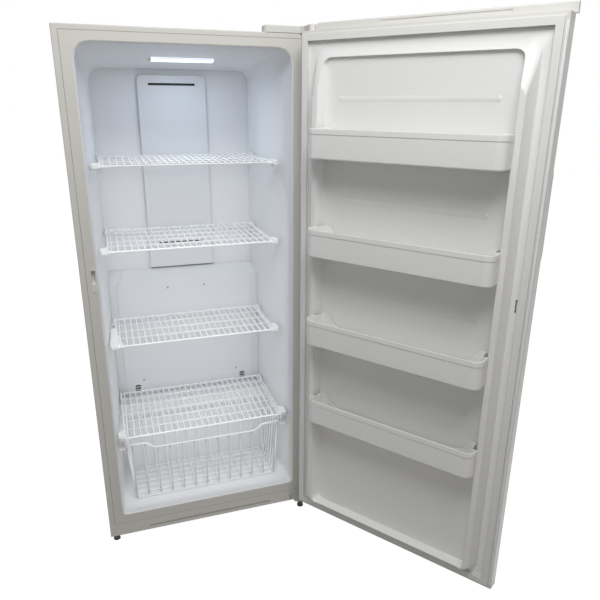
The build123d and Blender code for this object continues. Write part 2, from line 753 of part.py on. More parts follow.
# ================================================================ shelves
def shelf(number):
    """A shelf of front-to-back wires on cross wires, in a heavier wire frame."""
    index = number - 1
    z = SHELF_Z[index]
    front = SHELF_FRONT_D[index]
    rear = SHELF_REAR_D[index]
    half = SHELF_HALF[index]
    rows = SHELF_ROW_COUNT[index]
    low = z - (WIRE + FRAME_WIRE) / 2
    pieces = []
    for wire in range(SHELF_WIRES):
        x = -half + (wire + 0.5) * 2 * half / SHELF_WIRES
        pieces.append(inward(x, (front, rear), z, WIRE, WIRE_SIDES))
    for row in range(rows):
        depth = front + FRAME_WIRE / 2 + row * (rear - front - FRAME_WIRE) / (rows - 1)
        pieces.append(across((-half + FRAME_WIRE / 2, half - FRAME_WIRE / 2), depth, low, FRAME_WIRE, FRAME_SIDES))
    for side in (-1, 1):
        pieces.append(inward(side * half, (front, rear), low, FRAME_WIRE, FRAME_SIDES))
    save("shelf_" + str(number), *pieces)


def shelf_caps(number):
    """The white moulded ends that carry a shelf on the pegs of the liner."""
    index = number - 1
    z = SHELF_Z[index]
    front = SHELF_FRONT_D[index]
    rear = SHELF_REAR_D[index]
    half = SHELF_HALF[index] + FRAME_WIRE / 2 + SEAL_RUN
    low = z - CAP_H / 2 - CAP_DROP
    pieces = []
    for side in (-1, 1):
        front_end = front + (CAP_LENGTH_LONG if (number, side) == LONG_CAP else CAP_LENGTH)
        for start, end in ((front - CAP_DROP, front_end), (rear - CAP_LENGTH, rear)):
            out_a = min(CAP_REACH, wall_x(start) - CAP_WALL_GAP)
            out_b = min(CAP_REACH, wall_x(end) - CAP_WALL_GAP)
            foot = plan([(side * half, start), (side * out_a, start),
                         (side * out_b, end), (side * half, end)], (low, low + CAP_H))
            corner = min(CAP_CORNER_R, (out_b - half) * 0.4)
            foot = chamfer(foot.edges().filter_by(Axis.Z).sort_by(Axis.Y)[:2], corner)
            if start < front:
                drop = outline([(y_at(start + 8), low), (y_at(start + CAP_LENGTH), low),
                                (y_at(start + 22), low - GUSSET_DROP)])
                web = extrude(sideways(side * half + (0 if side > 0 else -GUSSET_T)) * drop, GUSSET_T)
                foot += web
            pieces.append(foot)
    save("shelf_" + str(number) + "_caps", *pieces)


def shelf_pegs():
    """Pegs on the liner under the ends of every shelf."""
    pegs = []
    for index, z in enumerate(SHELF_Z):
        top = z - CAP_H / 2 - CAP_DROP - SEAL_RUN
        for depth in (SHELF_FRONT_D[index] + CAP_LENGTH - 18, SHELF_REAR_D[index] - 24):
            reach = min(CAP_REACH, wall_x(depth) - CAP_WALL_GAP)
            for side in (-1, 1):
                outer = side * (wall_x(depth + PEG_D / 2) - SEAL_RUN)
                inner = side * (reach - PEG_LENGTH)
                pegs.append(across(sorted((inner, outer)), depth, top - PEG_D / 2, PEG_D, FRAME_SIDES))
    save("shelf_pegs", *pegs)


# ================================================================ basket
def basket():
    """A wire basket with a heavy rim, whose front and sides lean out to the top."""
    rim = BASKET_RIM_Z
    floor = BASKET_FLOOR_Z
    pieces = []
    front = y_at(BASKET_FRONT_D)
    rear = y_at(BASKET_REAR_D)
    low_rear = y_at(BASKET_FLOOR_REAR_D)
    low_front = front + 12
    dip = rim - DIP_DEPTH
    top_line = [(-BASKET_HALF, rear, rim), (-BASKET_HALF, front, rim), (-DIP_OUTER, front, rim),
                (-DIP_INNER, front, dip), (DIP_INNER, front, dip), (DIP_OUTER, front, rim),
                (BASKET_HALF, front, rim), (BASKET_HALF, rear, rim)]
    for start, end in zip(top_line, top_line[1:] + top_line[:1]):
        pieces.append(rod(start, end, FRAME_WIRE, FRAME_SIDES))
    pitch = 2 * BASKET_FLOOR_HALF / (BASKET_WIRES - 1)
    behind = (FRAME_WIRE + WIRE) / 2
    for wire in range(BASKET_WIRES):
        x = -BASKET_FLOOR_HALF + wire * pitch
        top = dip if abs(x) <= DIP_INNER + 1 else rim
        pieces.append(rod((x, front + behind, top), (x, low_front, floor), WIRE, WIRE_SIDES))
        pieces.append(rod((x, low_front, floor), (x, low_rear, floor), WIRE, WIRE_SIDES))
        pieces.append(rod((x, low_rear, floor), (x, rear - behind, rim), WIRE, WIRE_SIDES))
    for row in range(BASKET_ROWS):
        share = row / (BASKET_ROWS - 1)
        y = low_front + share * (low_rear - low_front)
        side_y = front + 24 + share * (rear - front - 48)
        under = floor - WIRE
        pieces.append(rod((-BASKET_FLOOR_HALF, y, under), (BASKET_FLOOR_HALF, y, under), WIRE, WIRE_SIDES))
        for side in (-1, 1):
            foot = (side * BASKET_FLOOR_HALF, y, under)
            head = (side * (BASKET_HALF - behind), side_y, rim)
            pieces.append(rod(foot, head, WIRE, WIRE_SIDES))
    save("basket", *pieces)


def basket_runners():
    top = BASKET_RIM_Z - FRAME_WIRE / 2 - SEAL_RUN
    runners = []
    for side in (-1, 1):
        start = BASKET_FRONT_D - 8
        end = HUMP_BROW_D - 12
        inner = BASKET_HALF - RUNNER_OVERLAP
        strip = plan([(side * inner, start), (side * (wall_x(start) - SEAL_RUN), start),
                      (side * (wall_x(end) - SEAL_RUN), end), (side * inner, end)], (top - RUNNER_T, top))
        runners.append(chamfer(strip.edges().filter_by(Axis.Z).sort_by(Axis.Y)[:2], RUNNER_BEVEL))
    save("basket_runners", *runners)


# ================================================================ door, drawn closed
def door_block(inset, depth, z):
    """A block as wide as the door, drawn in from its skin, with its two front edges rounded."""
    half = DOOR_HALF - inset
    corner = DOOR_EDGE_R - inset
    face = eased([(-half, y_at(depth[1])), (half, y_at(depth[1])), (half, y_at(depth[0])), (-half, y_at(depth[0]))],
                 [0, 0, corner, corner])
    return extrude(level(z[0]) * face, z[1] - z[0])


def door_panel():
    """The outer steel skin, folded back at the sides, open behind."""
    z = (DOOR_BOTTOM + BOTTOM_CAP_BAND, DOOR_TOP - CAP_BAND)
    body = door_block(0, (OUTER_D, FACE_D), z)
    body -= door_block(DOOR_SKIN, (OUTER_D + DOOR_SKIN, FACE_D + 1), (z[0] - 1, z[1] + 1))
    body -= inward(LOCK_X, (OUTER_D - 1, OUTER_D + DOOR_SKIN + 1), LOCK_Z, BARREL + 1)
    hang("door_panel", body)


def dyke_ring(shrink):
    """The raised frame inside the gasket, open in the middle. Its top slopes back to the door."""
    foot = window(DYKE_HALF - shrink, (DYKE_BOTTOM + shrink, DYKE_TOP - shrink), DYKE_R, DYKE_R)
    head_half = DYKE_HALF - DYKE_TAPER - shrink
    head_r = DYKE_R - DYKE_TAPER / 2
    head = window(head_half, (DYKE_BOTTOM + DYKE_TAPER + shrink, DYKE_RIDGE_TOP - shrink), head_r, head_r)
    ridge = FACE_D + DYKE_H - shrink
    base = FACE_D - shrink
    body = loft([facing(base) * foot, facing(ridge) * head], ruled=True)
    deep = window(RECESS_HALF + shrink, (RECESS_BOTTOM - shrink, RECESS_TOP + shrink), RECESS_R, RECESS_R)
    wide_half = RECESS_HALF + RECESS_TAPER + shrink
    wide = window(wide_half, (RECESS_BOTTOM - RECESS_TAPER - shrink, RECESS_TOP + RECESS_TAPER + shrink),
                  RECESS_R, RECESS_R)
    body -= loft([facing(base - 1) * deep, facing(ridge + 1) * wide], ruled=True)
    return body


def recess_x(off):
    """Half the width of the door's recess, at a distance in front of its floor."""
    return RECESS_HALF + RECESS_TAPER * off / DYKE_H


def bin_lugs():
    """The moulded lugs of the door liner that carry the bins."""
    lugs = []
    for rim in BIN_RIM_Z:
        top = rim - HOOK_Z - HOOK_H - LUG_CLEAR
        for side in (-1, 1):
            inner = side * (BIN_INNER_HALF + 1.5)
            outer = side * (RECESS_HALF + RECESS_TAPER + 1)
            reach = HOOK_W / 2 - LUG_INSET
            lug = block(sorted((inner, outer)), (FACE_D + HOOK_MID - reach, FACE_D + HOOK_MID + reach),
                        (top - HOOK_H, top))
            lugs.append(chamfer(lug.edges().filter_by(Axis.X).group_by(Axis.Z)[0], LUG_BEVEL))
    return lugs


def rib_panels():
    """The embossed bands on the recess floor, one above each bin."""
    ribs = []
    for rim in BIN_RIM_Z:
        low = rim + RIB_ABOVE_BIN - RIB_H / 2
        foot = window(RIB_HALF, (low, low + RIB_H), RIB_H / 2 - 1, RIB_H / 2 - 1)
        head = window(RIB_HALF - RIB_SLOPE, (low + RIB_SLOPE, low + RIB_H - RIB_SLOPE),
                      RIB_H / 2 - RIB_SLOPE - 1, RIB_H / 2 - RIB_SLOPE - 1)
        ribs.append(loft([facing(FACE_D - 0.5) * foot, facing(FACE_D + RIB_PROUD) * head], ruled=True))
    return ribs


def inside_skin():
    """The corners of the door's inner face, inside the folded skin."""
    side = DOOR_HALF - DOOR_SKIN
    return side, (DOOR_BOTTOM + BOTTOM_CAP_BAND, DOOR_TOP - CAP_BAND)


def lock_slot(low_d, high_d, grow):
    return block((SLOT_X - SLOT_W / 2 - grow, SLOT_X + SLOT_W / 2 + grow), (low_d, high_d),
                 (SLOT_Z[0] - grow, SLOT_Z[1] + grow))


def door_liner():
    side, z = inside_skin()
    body = block((-side, side), (FACE_D - DOOR_LINER_T, FACE_D), z)
    body += dyke_ring(0)
    body -= dyke_ring(DOOR_LINER_T)
    for piece in rib_panels() + bin_lugs():
        body += piece
    body -= lock_slot(FACE_D - DOOR_LINER_T - 1, FACE_D + 1, 0)
    hang("door_liner", body)


def door_foam():
    """The insulation of the door: a slab, and the four bars that fill the raised frame."""
    z = inside_skin()[1]
    body = door_block(DOOR_SKIN, (OUTER_D + DOOR_SKIN, FACE_D - DOOR_LINER_T), z)
    body -= block(HOUSING_X, (OUTER_D, FACE_D), HOUSING_Z)
    ring = dyke_ring(DOOR_LINER_T)
    for lug in bin_lugs():
        ring -= lug
    middle = block((-RECESS_HALF, RECESS_HALF), (FACE_D - DOOR_T, FACE_D + DOOR_T), (DOOR_BOTTOM, DOOR_TOP))
    hang("door_foam", body, ring & middle, ring - middle)


def door_top_cap():
    """The moulded end of the door, with a lip that stands up along its front edge."""
    z = (DOOR_TOP - CAP_BAND, DOOR_TOP)
    body = door_block(0, (OUTER_D, FACE_D), z)
    pocket = block((-DOOR_HALF + CAP_WALL, LIP_END_X - CAP_WALL), (OUTER_D + CAP_WALL, FACE_D - CAP_WALL),
                   (z[0] - 1, z[1] - CAP_WALL))
    body -= pocket
    lip_profile = outline([(y_at(OUTER_D), DOOR_TOP - 1), (y_at(OUTER_D), LIP_TOP - 5),
                           (y_at(OUTER_D + 4), LIP_TOP), (y_at(OUTER_D + LIP_T - 2), LIP_TOP),
                           (y_at(OUTER_D + LIP_T), LIP_TOP - 3), (y_at(OUTER_D + LIP_T), DOOR_TOP - 1)])
    lip = extrude(sideways(-DOOR_HALF - LIP_OVERHANG) * lip_profile, LIP_END_X + DOOR_HALF + LIP_OVERHANG)
    end = lip.edges().filter_by(Axis.Y).group_by(Axis.X)[-1].sort_by(Axis.Z)[-1:]
    body += chamfer(end, LIP_CURL)
    body -= block(LIP_RECESS_X, (OUTER_D + LIP_T - LIP_RECESS_T, OUTER_D + LIP_T + 1),
                  (LIP_TOP - 2 * LIP_RECESS_H, LIP_TOP - LIP_RECESS_H))
    for x in CAP_SLOT_X:
        body -= block((x - CAP_SLOT_W / 2, x + CAP_SLOT_W / 2), CAP_SLOT_D, (DOOR_TOP - CAP_WALL - 1, DOOR_TOP + 1))
    body -= upright(PIN_X, PIN_D, (z[0] - 1, z[1] + 1), PIN_DIAMETER + 2 * PIN_FIT)
    hang("door_top_cap", body)


def door_bottom_cap():
    """The moulded lower end, deeper at the front, with the bush of the lower hinge pin."""
    z = (DOOR_BOTTOM, DOOR_BOTTOM + BOTTOM_CAP_BAND)
    low = DOOR_BOTTOM - BOTTOM_CAP_DROP
    profile = outline([(y_at(FACE_D), z[1]), (y_at(FACE_D), z[0]), (y_at(OUTER_D + 6), low),
                       (y_at(OUTER_D), low + 5), (y_at(OUTER_D), z[1])])
    body = extrude(sideways(-DOOR_HALF) * profile, 2 * DOOR_HALF)
    body &= door_block(0, (OUTER_D, FACE_D), (low - 1, z[1] + 1))
    body += upright(PIN_X, PIN_D, (BRACKET_TOP + SEAL_RUN, z[0]), 2 * PIN_INSET_X)
    body -= upright(PIN_X, PIN_D, (BRACKET_TOP - 1, z[1] + 1), PIN_DIAMETER + 2 * PIN_FIT)
    hang("door_bottom_cap", body)


def gasket_frame(outer_half, bottom, top, width, start, end):
    """One layer of the seal, as a mitred frame."""
    hole = block((width - outer_half, outer_half - width), (start - 1, end + 1), (bottom + width, top - width))
    return block((-outer_half, outer_half), (start, end), (bottom, top)) - hole


def door_gasket():
    """The magnetic seal: a foot on the door, a narrow bellows and the magnet strip."""
    face = FACE_D
    base_end = face + GASKET_BASE_T
    neck_end = base_end + GASKET_NECK_T
    front = -SEAL_RUN
    body = gasket_frame(GASKET_OUTER, GASKET_BOTTOM, GASKET_TOP, GASKET_W, face, base_end)
    inset = 6.0
    body += gasket_frame(GASKET_OUTER - inset, GASKET_BOTTOM + inset, GASKET_TOP - inset,
                         GASKET_W - 2 * inset, base_end, neck_end)
    inset = 2.5
    body += gasket_frame(GASKET_OUTER - inset, GASKET_BOTTOM + inset, GASKET_TOP - inset,
                         GASKET_W - 2 * inset, neck_end, front)
    hang("door_gasket", body)


def bin_line(half_low, half_high, back, step, front, corner):
    """A bin's outline from above: narrow inside the recess, wide in front of the raised frame."""
    points = [(-half_low, back), (half_low, back), (half_low, step), (half_high, step),
              (half_high, front), (-half_high, front), (-half_high, step), (-half_low, step)]
    return eased_line([(x, y_at(FACE_D + off)) for x, off in points], [0, 0, 0, 0, corner, corner, 0, 0])


def door_bin(number):
    """An open moulded bin with a banded rim, raised ears and a low back, in flat runs of wall that meet."""
    index = number - 1
    rim = BIN_RIM_Z[index]
    front = BIN_FRONT[index]
    low = rim - BIN_H
    floor = low + BIN_WALL
    main = bin_line(BIN_INNER_HALF, BIN_HALF, BIN_BACK, BIN_STEP, front, BIN_CORNER_R)
    band = bin_line(BIN_INNER_HALF, BIN_HALF + BIN_BAND_PROUD, BIN_BACK, BIN_STEP,
                    front + BIN_BAND_PROUD, BIN_CORNER_R)
    room = bin_line(BIN_INNER_HALF - BIN_WALL, BIN_HALF - BIN_WALL, BIN_BACK + BIN_WALL,
                    BIN_STEP + BIN_WALL, front - BIN_WALL, BIN_CORNER_R - BIN_WALL)
    body = extrude(level(low) * outline(main), BIN_H - BIN_BAND)
    body = chamfer(body.edges().group_by(Axis.Z)[0].filter_by(Axis.X).sort_by(Axis.Y)[-1:], BIN_BEVEL)
    body += extrude(level(rim - BIN_BAND) * outline(band), BIN_BAND)
    arch_half = BIN_INNER_HALF - BIN_EAR
    arch_low = rim - BIN_EAR_DROP
    arch = eased([(-arch_half, arch_low), (arch_half, arch_low), (arch_half, rim + 1), (-arch_half, rim + 1)],
                 [BIN_ARCH_R, BIN_ARCH_R, 0, 0])
    body -= extrude(facing(FACE_D + BIN_BACK + BIN_WALL + 1) * arch, BIN_WALL + 2)
    pieces = []
    for reach in ((FACE_D, FACE_D + BIN_STEP), (FACE_D + BIN_STEP, FACE_D + front)):
        pieces.append(body & block((-BIN_HALF, BIN_HALF), reach, (low, floor)))
    for i in range(len(band)):
        ahead = (i + 1) % len(band)
        run = outline([band[i], band[ahead], room[ahead], room[i]])
        pieces.append(body & extrude(level(floor) * run, BIN_H - BIN_WALL))
    for side in (-1, 1):
        inner = side * BIN_INNER_HALF
        outer = side * (BIN_INNER_HALF + HOOK_OUT)
        hook = block(sorted((inner, outer)), (FACE_D + HOOK_MID - HOOK_W / 2, FACE_D + HOOK_MID + HOOK_W / 2),
                     (rim - HOOK_Z - HOOK_H, rim - HOOK_Z))
        pieces.append(chamfer(hook.edges().filter_by(Axis.X).group_by(Axis.Z)[-1], LUG_BEVEL))
    hang("bin_" + str(number), *pieces)


# ================================================================ lock and handle
def lock_housing():
    body = block(HOUSING_X, (OUTER_D + DOOR_SKIN + SEAL_RUN, FACE_D - DOOR_LINER_T - SEAL_RUN), HOUSING_Z)
    body -= block((SLOT_X - 4, SLOT_X + 4), (HOOK_PIVOT_D - 16, FACE_D), (HOUSING_Z[0] + 4, HOUSING_Z[1] - 4))
    body -= inward(LOCK_X, (OUTER_D, OUTER_D + BARREL_LENGTH + 1), LOCK_Z, BARREL + 2 * PIN_FIT)
    hang("lock_housing", body)


def lock_barrel():
    """The key barrel with its keyway."""
    start = OUTER_D - BARREL_PROUD
    body = inward(LOCK_X, (start, OUTER_D + BARREL_LENGTH), LOCK_Z, BARREL)
    body -= block((LOCK_X - 1, LOCK_X + 1), (start - 1, start + 6), (LOCK_Z - 4, LOCK_Z + 4))
    hang("lock_barrel", body)


def lock_hook():
    """The blade that turns out through the slot, drawn turned in, on its cross pin."""
    blade = Pos(y_at(HOOK_PIVOT_D), HOOK_PIVOT_Z + HOOK_ARM / 2) * Rectangle(HOOK_BLADE_W, HOOK_ARM)
    blade = chamfer(blade.vertices().group_by(Axis.Y)[-1], 2)
    blade += Pos(y_at(HOOK_PIVOT_D), HOOK_PIVOT_Z) * RegularPolygon(5, STUD_SIDES)
    body = extrude(sideways(SLOT_X - HOOK_T / 2) * blade, HOOK_T)
    body += across((SLOT_X - 3.7, SLOT_X + 3.7), HOOK_PIVOT_D, HOOK_PIVOT_Z, 3, STUD_SIDES)
    hang("lock_hook", body)


def keeper_plate():
    """The catch plate on the flange, with a ramp in its hole and a box behind it."""
    middle = (KEEPER_X[0] + KEEPER_X[1]) / 2
    half = (KEEPER_X[1] - KEEPER_X[0]) / 2
    plate = panel(window(half, KEEPER_Z, half - 1, 3, middle), -KEEPER_T, 0)
    box_half = KEEPER_HOLE_W / 2 + KEEPER_T
    plate += block((middle - box_half, middle + box_half), (-KEEPER_T / 2, KEEPER_BOX_D),
                   (KEEPER_HOLE_Z[0] - KEEPER_T, KEEPER_HOLE_Z[1] + KEEPER_T))
    hole = block((middle - KEEPER_HOLE_W / 2, middle + KEEPER_HOLE_W / 2), (-KEEPER_T - 1, KEEPER_BOX_D - KEEPER_T),
                 KEEPER_HOLE_Z)
    ramp = outline([(y_at(-KEEPER_T), KEEPER_HOLE_Z[0] - 0.5), (y_at(KEEPER_BOX_D), KEEPER_HOLE_Z[0] - 0.5),
                    (y_at(KEEPER_BOX_D), KEEPER_HOLE_Z[0] + 9)])
    hole -= extrude(sideways(middle - KEEPER_HOLE_W / 2 - 0.5) * ramp, KEEPER_HOLE_W + 1)
    save("keeper_plate", plate - hole)


def door_handle():
    """A bar handle, bent back to the door at both ends."""
    front = OUTER_D - HANDLE_OUT
    grip_d = front + HANDLE_T
    low = HANDLE_Z[0] + HANDLE_POST
    high = HANDLE_Z[1] - HANDLE_POST
    pieces = [block((HANDLE_X - HANDLE_W / 2, HANDLE_X + HANDLE_W / 2), (front, grip_d), (low, high))]
    for inner, outer in ((low, HANDLE_Z[0]), (high, HANDLE_Z[1])):
        post = eased([(y_at(front), inner), (y_at(front), outer), (y_at(OUTER_D), outer), (y_at(OUTER_D), inner)],
                     [0, HANDLE_END_R, 0, 0])
        pieces.append(extrude(sideways(HANDLE_X - HANDLE_W / 2) * post, HANDLE_W))
    hang("door_handle", *pieces)


def handle_screws():
    screws = []
    for z in (HANDLE_Z[0] + HANDLE_POST / 2, HANDLE_Z[1] - HANDLE_POST / 2):
        screws.append(across((HANDLE_X - HANDLE_W / 2 - 1.5, HANDLE_X - HANDLE_W / 2), OUTER_D - 14, z, 8, STUD_SIDES))
    hang("handle_screws", *screws)


# ================================================================ hinges
def hinge_outline(left, back_d, nose_r, grow):
    """The top hinge from above: a wide foot on the cabinet and an arm to the pin."""
    arm_left = PIN_X - nose_r
    arm_right = PIN_X + nose_r
    foot = outline([(left, y_at(-grow)), (arm_left - 12, y_at(-grow)), (arm_left, y_at(-16 - grow)),
                    (arm_left, y_at(PIN_D)), (arm_right, y_at(PIN_D)), (arm_right, y_at(-4)),
                    (CAB_HALF - 4, y_at(2)), (CAB_HALF - 4, y_at(back_d)), (left, y_at(back_d))])
    return foot + Pos(PIN_X, y_at(PIN_D)) * RegularPolygon(nose_r, ROUND_SIDES)


def top_hinge():
    face = hinge_outline(HINGE_PLATE_LEFT, HINGE_COVER_BACK_D - 8, HINGE_NOSE_R - 4, -4)
    plate = extrude(level(CAB_TOP) * face, HINGE_PLATE_T)
    plate += upright(PIN_X, PIN_D, (DOOR_TOP - CAP_BAND + 1, CAB_TOP + 1), PIN_DIAMETER)
    save("top_hinge_plate", plate)
    cover = extrude(level(CAB_TOP) * hinge_outline(HINGE_COVER_LEFT, HINGE_COVER_BACK_D, HINGE_NOSE_R, 0),
                    HINGE_COVER_TOP - CAB_TOP)
    left_edges = cover.edges().filter_by(Axis.Z).group_by(Axis.X)[0]
    cover = chamfer(left_edges, HINGE_COVER_BEVEL)
    cover = chamfer(cover.faces().sort_by(Axis.Z)[-1].edges(), HINGE_COVER_BEVEL / 2)
    inside = hinge_outline(HINGE_COVER_LEFT + 10, HINGE_COVER_BACK_D - 4, HINGE_NOSE_R - HINGE_COVER_WALL,
                           -HINGE_COVER_WALL)
    cover -= extrude(level(CAB_TOP - 1) * inside, HINGE_COVER_TOP - CAB_TOP - HINGE_COVER_WALL + 1)
    save("top_hinge_cover", cover)
    top = CAB_TOP + HINGE_PLATE_T
    save("hinge_screws", *[upright(x, HINGE_SCREW_D, (top, top + 4), 11, FRAME_SIDES) for x in HINGE_SCREW_X])


def bottom_hinge():
    """An angle bracket on the front rail that carries the lower pin and the right foot."""
    nose = HINGE_NOSE_R
    shelf_face = outline([(BRACKET_LEFT, y_at(0)), (BRACKET_LEFT + 8, y_at(-54)), (PIN_X - 8, y_at(PIN_D - nose)),
                          (PIN_X + nose - 4.5, y_at(PIN_D - nose)), (PIN_X + nose - 4.5, y_at(0))])
    body = extrude(level(BRACKET_TOP - BRACKET_T) * shelf_face, BRACKET_T)
    body += block((BRACKET_LEFT, CAB_HALF - 4), (-BRACKET_T, 0), (BRACKET_LEG_Z, BRACKET_TOP))
    body += upright(PIN_X, PIN_D, (BRACKET_TOP - 1, DOOR_BOTTOM + BOTTOM_CAP_BAND - 1), PIN_DIAMETER)
    body -= upright(FOOT_RIGHT[0], FOOT_RIGHT[1], (BRACKET_TOP - 10, BRACKET_TOP + 1), STEM_D + 2 * PIN_FIT)
    save("bottom_hinge_bracket", body)
    heads = (-BRACKET_T - 4, -BRACKET_T)
    bolts = [inward(x, heads, BRACKET_BOLT_Z, 10, FRAME_SIDES) for x in BRACKET_BOLT_X]
    save("bottom_hinge_bolts", *bolts)


# ================================================================ feet and rollers
def foot(name, place, top):
    """A levelling foot: a tapered pad on a threaded stem."""
    pad = drum(place, 0, FOOT_D / 2, FOOT_H, FOOT_TOP_D / 2)
    save(name, pad + upright(place[0], place[1], (FOOT_H - 1, top), STEM_D))


def rear_roller(name, side):
    x = side * ROLLER_X
    axle_z = ROLLER_DIAMETER / 2
    wheel = across((x - ROLLER_W / 2, x + ROLLER_W / 2), ROLLER_D, axle_z, ROLLER_DIAMETER, ROUND_SIDES)
    wheel -= across((x - ROLLER_W, x + ROLLER_W), ROLLER_D, axle_z, AXLE_D + 2 * PIN_FIT)
    save(name, wheel)


def roller_brackets():
    pieces = []
    axle_z = ROLLER_DIAMETER / 2
    half = ROLLER_W / 2 + ROLLER_SIDE_GAP
    top = TRAY_Z
    for side in (-1, 1):
        x = side * ROLLER_X
        fork = block((x - half - ROLLER_BRACKET_T, x + half + ROLLER_BRACKET_T), (ROLLER_D - 16, ROLLER_D + 16),
                     (axle_z - 8, top))
        fork -= block((x - half, x + half), (ROLLER_D - 20, ROLLER_D + 20), (axle_z - 9, top - ROLLER_BRACKET_T))
        reach = half + ROLLER_BRACKET_T / 2
        fork += across((x - reach, x + reach), ROLLER_D, axle_z, AXLE_D)
        pieces.append(fork)
    save("roller_brackets", *pieces)


# ================================================================ machine compartment
def compressor_tray():
    """The folded plate under the compressor, fixed between the sides of the shell."""
    half = CAB_HALF - SHELL_T - SEAL_RUN
    depth = (ROOM_FRONT_D + TRAY_GAP, CAB_D - BACK_T - TRAY_GAP)
    body = block((-half, half), depth, (TRAY_Z, TRAY_Z + TRAY_T))
    for side in (-1, 1):
        edge = sorted((side * half, side * (half - TRAY_T)))
        body += block(edge, depth, (TRAY_Z - TRAY_LIP, TRAY_Z))
    save("compressor_tray", body)


def compressor():
    """A domed steel can on a foot plate, with suction, discharge and process tubes."""
    floor = TRAY_Z + TRAY_T + MOUNT_H
    plate_t = 3.0
    x = COMPRESSOR_X
    y = y_at(COMPRESSOR_D)

    base = floor + plate_t
    shoulder = COMPRESSOR_H - COMPRESSOR_DOME
    dome = shoulder + COMPRESSOR_DOME / 2
    seam = (COMPRESSOR_SEAM - 2, COMPRESSOR_SEAM + 2)
    wide = COMPRESSOR_R
    body = None
    for low, low_r, high, high_r in ((0, wide - 12, 12, wide), (12, wide, shoulder, wide),
                                     (shoulder, wide, dome, wide * 0.86), (dome, wide * 0.86, COMPRESSOR_H, wide * 0.4),
                                     (seam[0], wide + 3, seam[1], wide + 3)):
        part = drum((x, COMPRESSOR_D), base + low, low_r, base + high, high_r)
        body = part if body is None else body + part
    foot_x = MOUNT_PITCH_X / 2 + 16
    foot_y = MOUNT_PITCH_Y / 2 + 16
    plate = Pos(x, y, floor + plate_t / 2) * Box(2 * foot_x, 2 * foot_y, plate_t)
    body += chamfer(plate.edges().filter_by(Axis.Z), 12)
    relay = Pos(x + COMPRESSOR_R - 2, y, floor + RELAY_RISE) * Box(*RELAY_SIZE)
    body += chamfer(relay.edges().filter_by(Axis.X), 6)
    for dy, height in COMPRESSOR_TUBES:
        start = (x - COMPRESSOR_R + 22, y + dy, floor + 60)
        body += rod(start, (x - COMPRESSOR_R - 14, y + dy, floor + height), 7, STUD_SIDES)
    save("compressor", body)
    mounts = []
    for side in (-1, 1):
        for end in (-1, 1):
            place = (x + side * MOUNT_PITCH_X / 2, COMPRESSOR_D + end * MOUNT_PITCH_Y / 2)
            mounts.append(upright(place[0], place[1], (TRAY_Z + TRAY_T, floor), MOUNT_D, ROUND_SIDES // 2))
    save("compressor_mounts", *mounts)


def condenser_coil():
    """A serpentine tube through fins, between two end plates that stand on the tray."""
    low = TRAY_Z + TRAY_T
    x = CONDENSER_X
    body = None
    for row in range(CONDENSER_ROWS):
        z = low + CONDENSER_LOW + row * CONDENSER_PITCH
        tube = across(x, FAN_DEPTH_AT, z, CONDENSER_TUBE, 4)
        body = tube if body is None else body + tube
        if row:
            body += upright(x[row % 2], FAN_DEPTH_AT, (z - CONDENSER_PITCH, z), CONDENSER_TUBE, 4)
    top = low + CONDENSER_LOW + (CONDENSER_ROWS - 1) * CONDENSER_PITCH + CONDENSER_PITCH / 2
    ends = (x[0] + CONDENSER_END, x[1] - CONDENSER_END)
    for plate in range(CONDENSER_PLATES):
        at = ends[0] + plate * (ends[1] - ends[0]) / (CONDENSER_PLATES - 1)
        outer = plate in (0, CONDENSER_PLATES - 1)
        half_t = FIN_T if outer else FIN_T / 2
        reach = CONDENSER_REACH if outer else CONDENSER_REACH - 6
        body += block((at - half_t, at + half_t), (FAN_DEPTH_AT - reach, FAN_DEPTH_AT + reach),
                      (low if outer else low + 12, top))
    save("condenser_coil", body)


def condenser_fan():
    """The fan that draws air over the condenser, with its motor in a standing frame."""
    low = TRAY_Z + TRAY_T
    depth = FAN_DEPTH_AT
    z = low + FAN_R + 22
    blades = Pos(FAN_X, y_at(depth), z) * Rot(0, 90, 0) * propeller(FAN_R, FAN_HUB_R, FAN_DEPTH, FAN_BLADES, 3)
    save("condenser_fan", blades)
    wall = FAN_R + 3
    frame = block((FAN_X - FAN_DEPTH / 2 - 4, FAN_X + FAN_DEPTH / 2 + 30), (depth - wall - 6, depth + wall + 6),
                  (low, z + wall + 6))
    frame -= across((FAN_X - FAN_DEPTH, FAN_X + FAN_DEPTH + 40), depth, z, 2 * wall, ROUND_SIDES)
    motor_x = (FAN_X + FAN_DEPTH / 2 + 3, FAN_X + FAN_DEPTH / 2 + 28)
    frame += across(motor_x, depth, z, 2 * MOTOR_R, ROUND_SIDES)
    frame += across((FAN_X - FAN_DEPTH / 2, motor_x[0] + 1), depth, z, 6 - 2 * PIN_FIT)
    frame += block((motor_x[1] - 6, motor_x[1]), (depth - 5, depth + 5), (low + 10, z + wall + 4))
    save("condenser_fan_frame", frame)


def drain_pan():
    low = TRAY_Z + TRAY_T
    depth = (ROOM_FRONT_D + 22, CAB_D - 60)
    body = block(PAN_X, depth, (low, low + PAN_H))
    body = chamfer(body.edges().filter_by(Axis.Z), PAN_BEVEL)
    room = block((PAN_X[0] + PAN_WALL, PAN_X[1] - PAN_WALL), (depth[0] + PAN_WALL, depth[1] - PAN_WALL),
                 (low + PAN_WALL, low + PAN_H + 1))
    body -= chamfer(room.edges().filter_by(Axis.Z), PAN_BEVEL - PAN_WALL / 2)
    save("drain_pan", body)


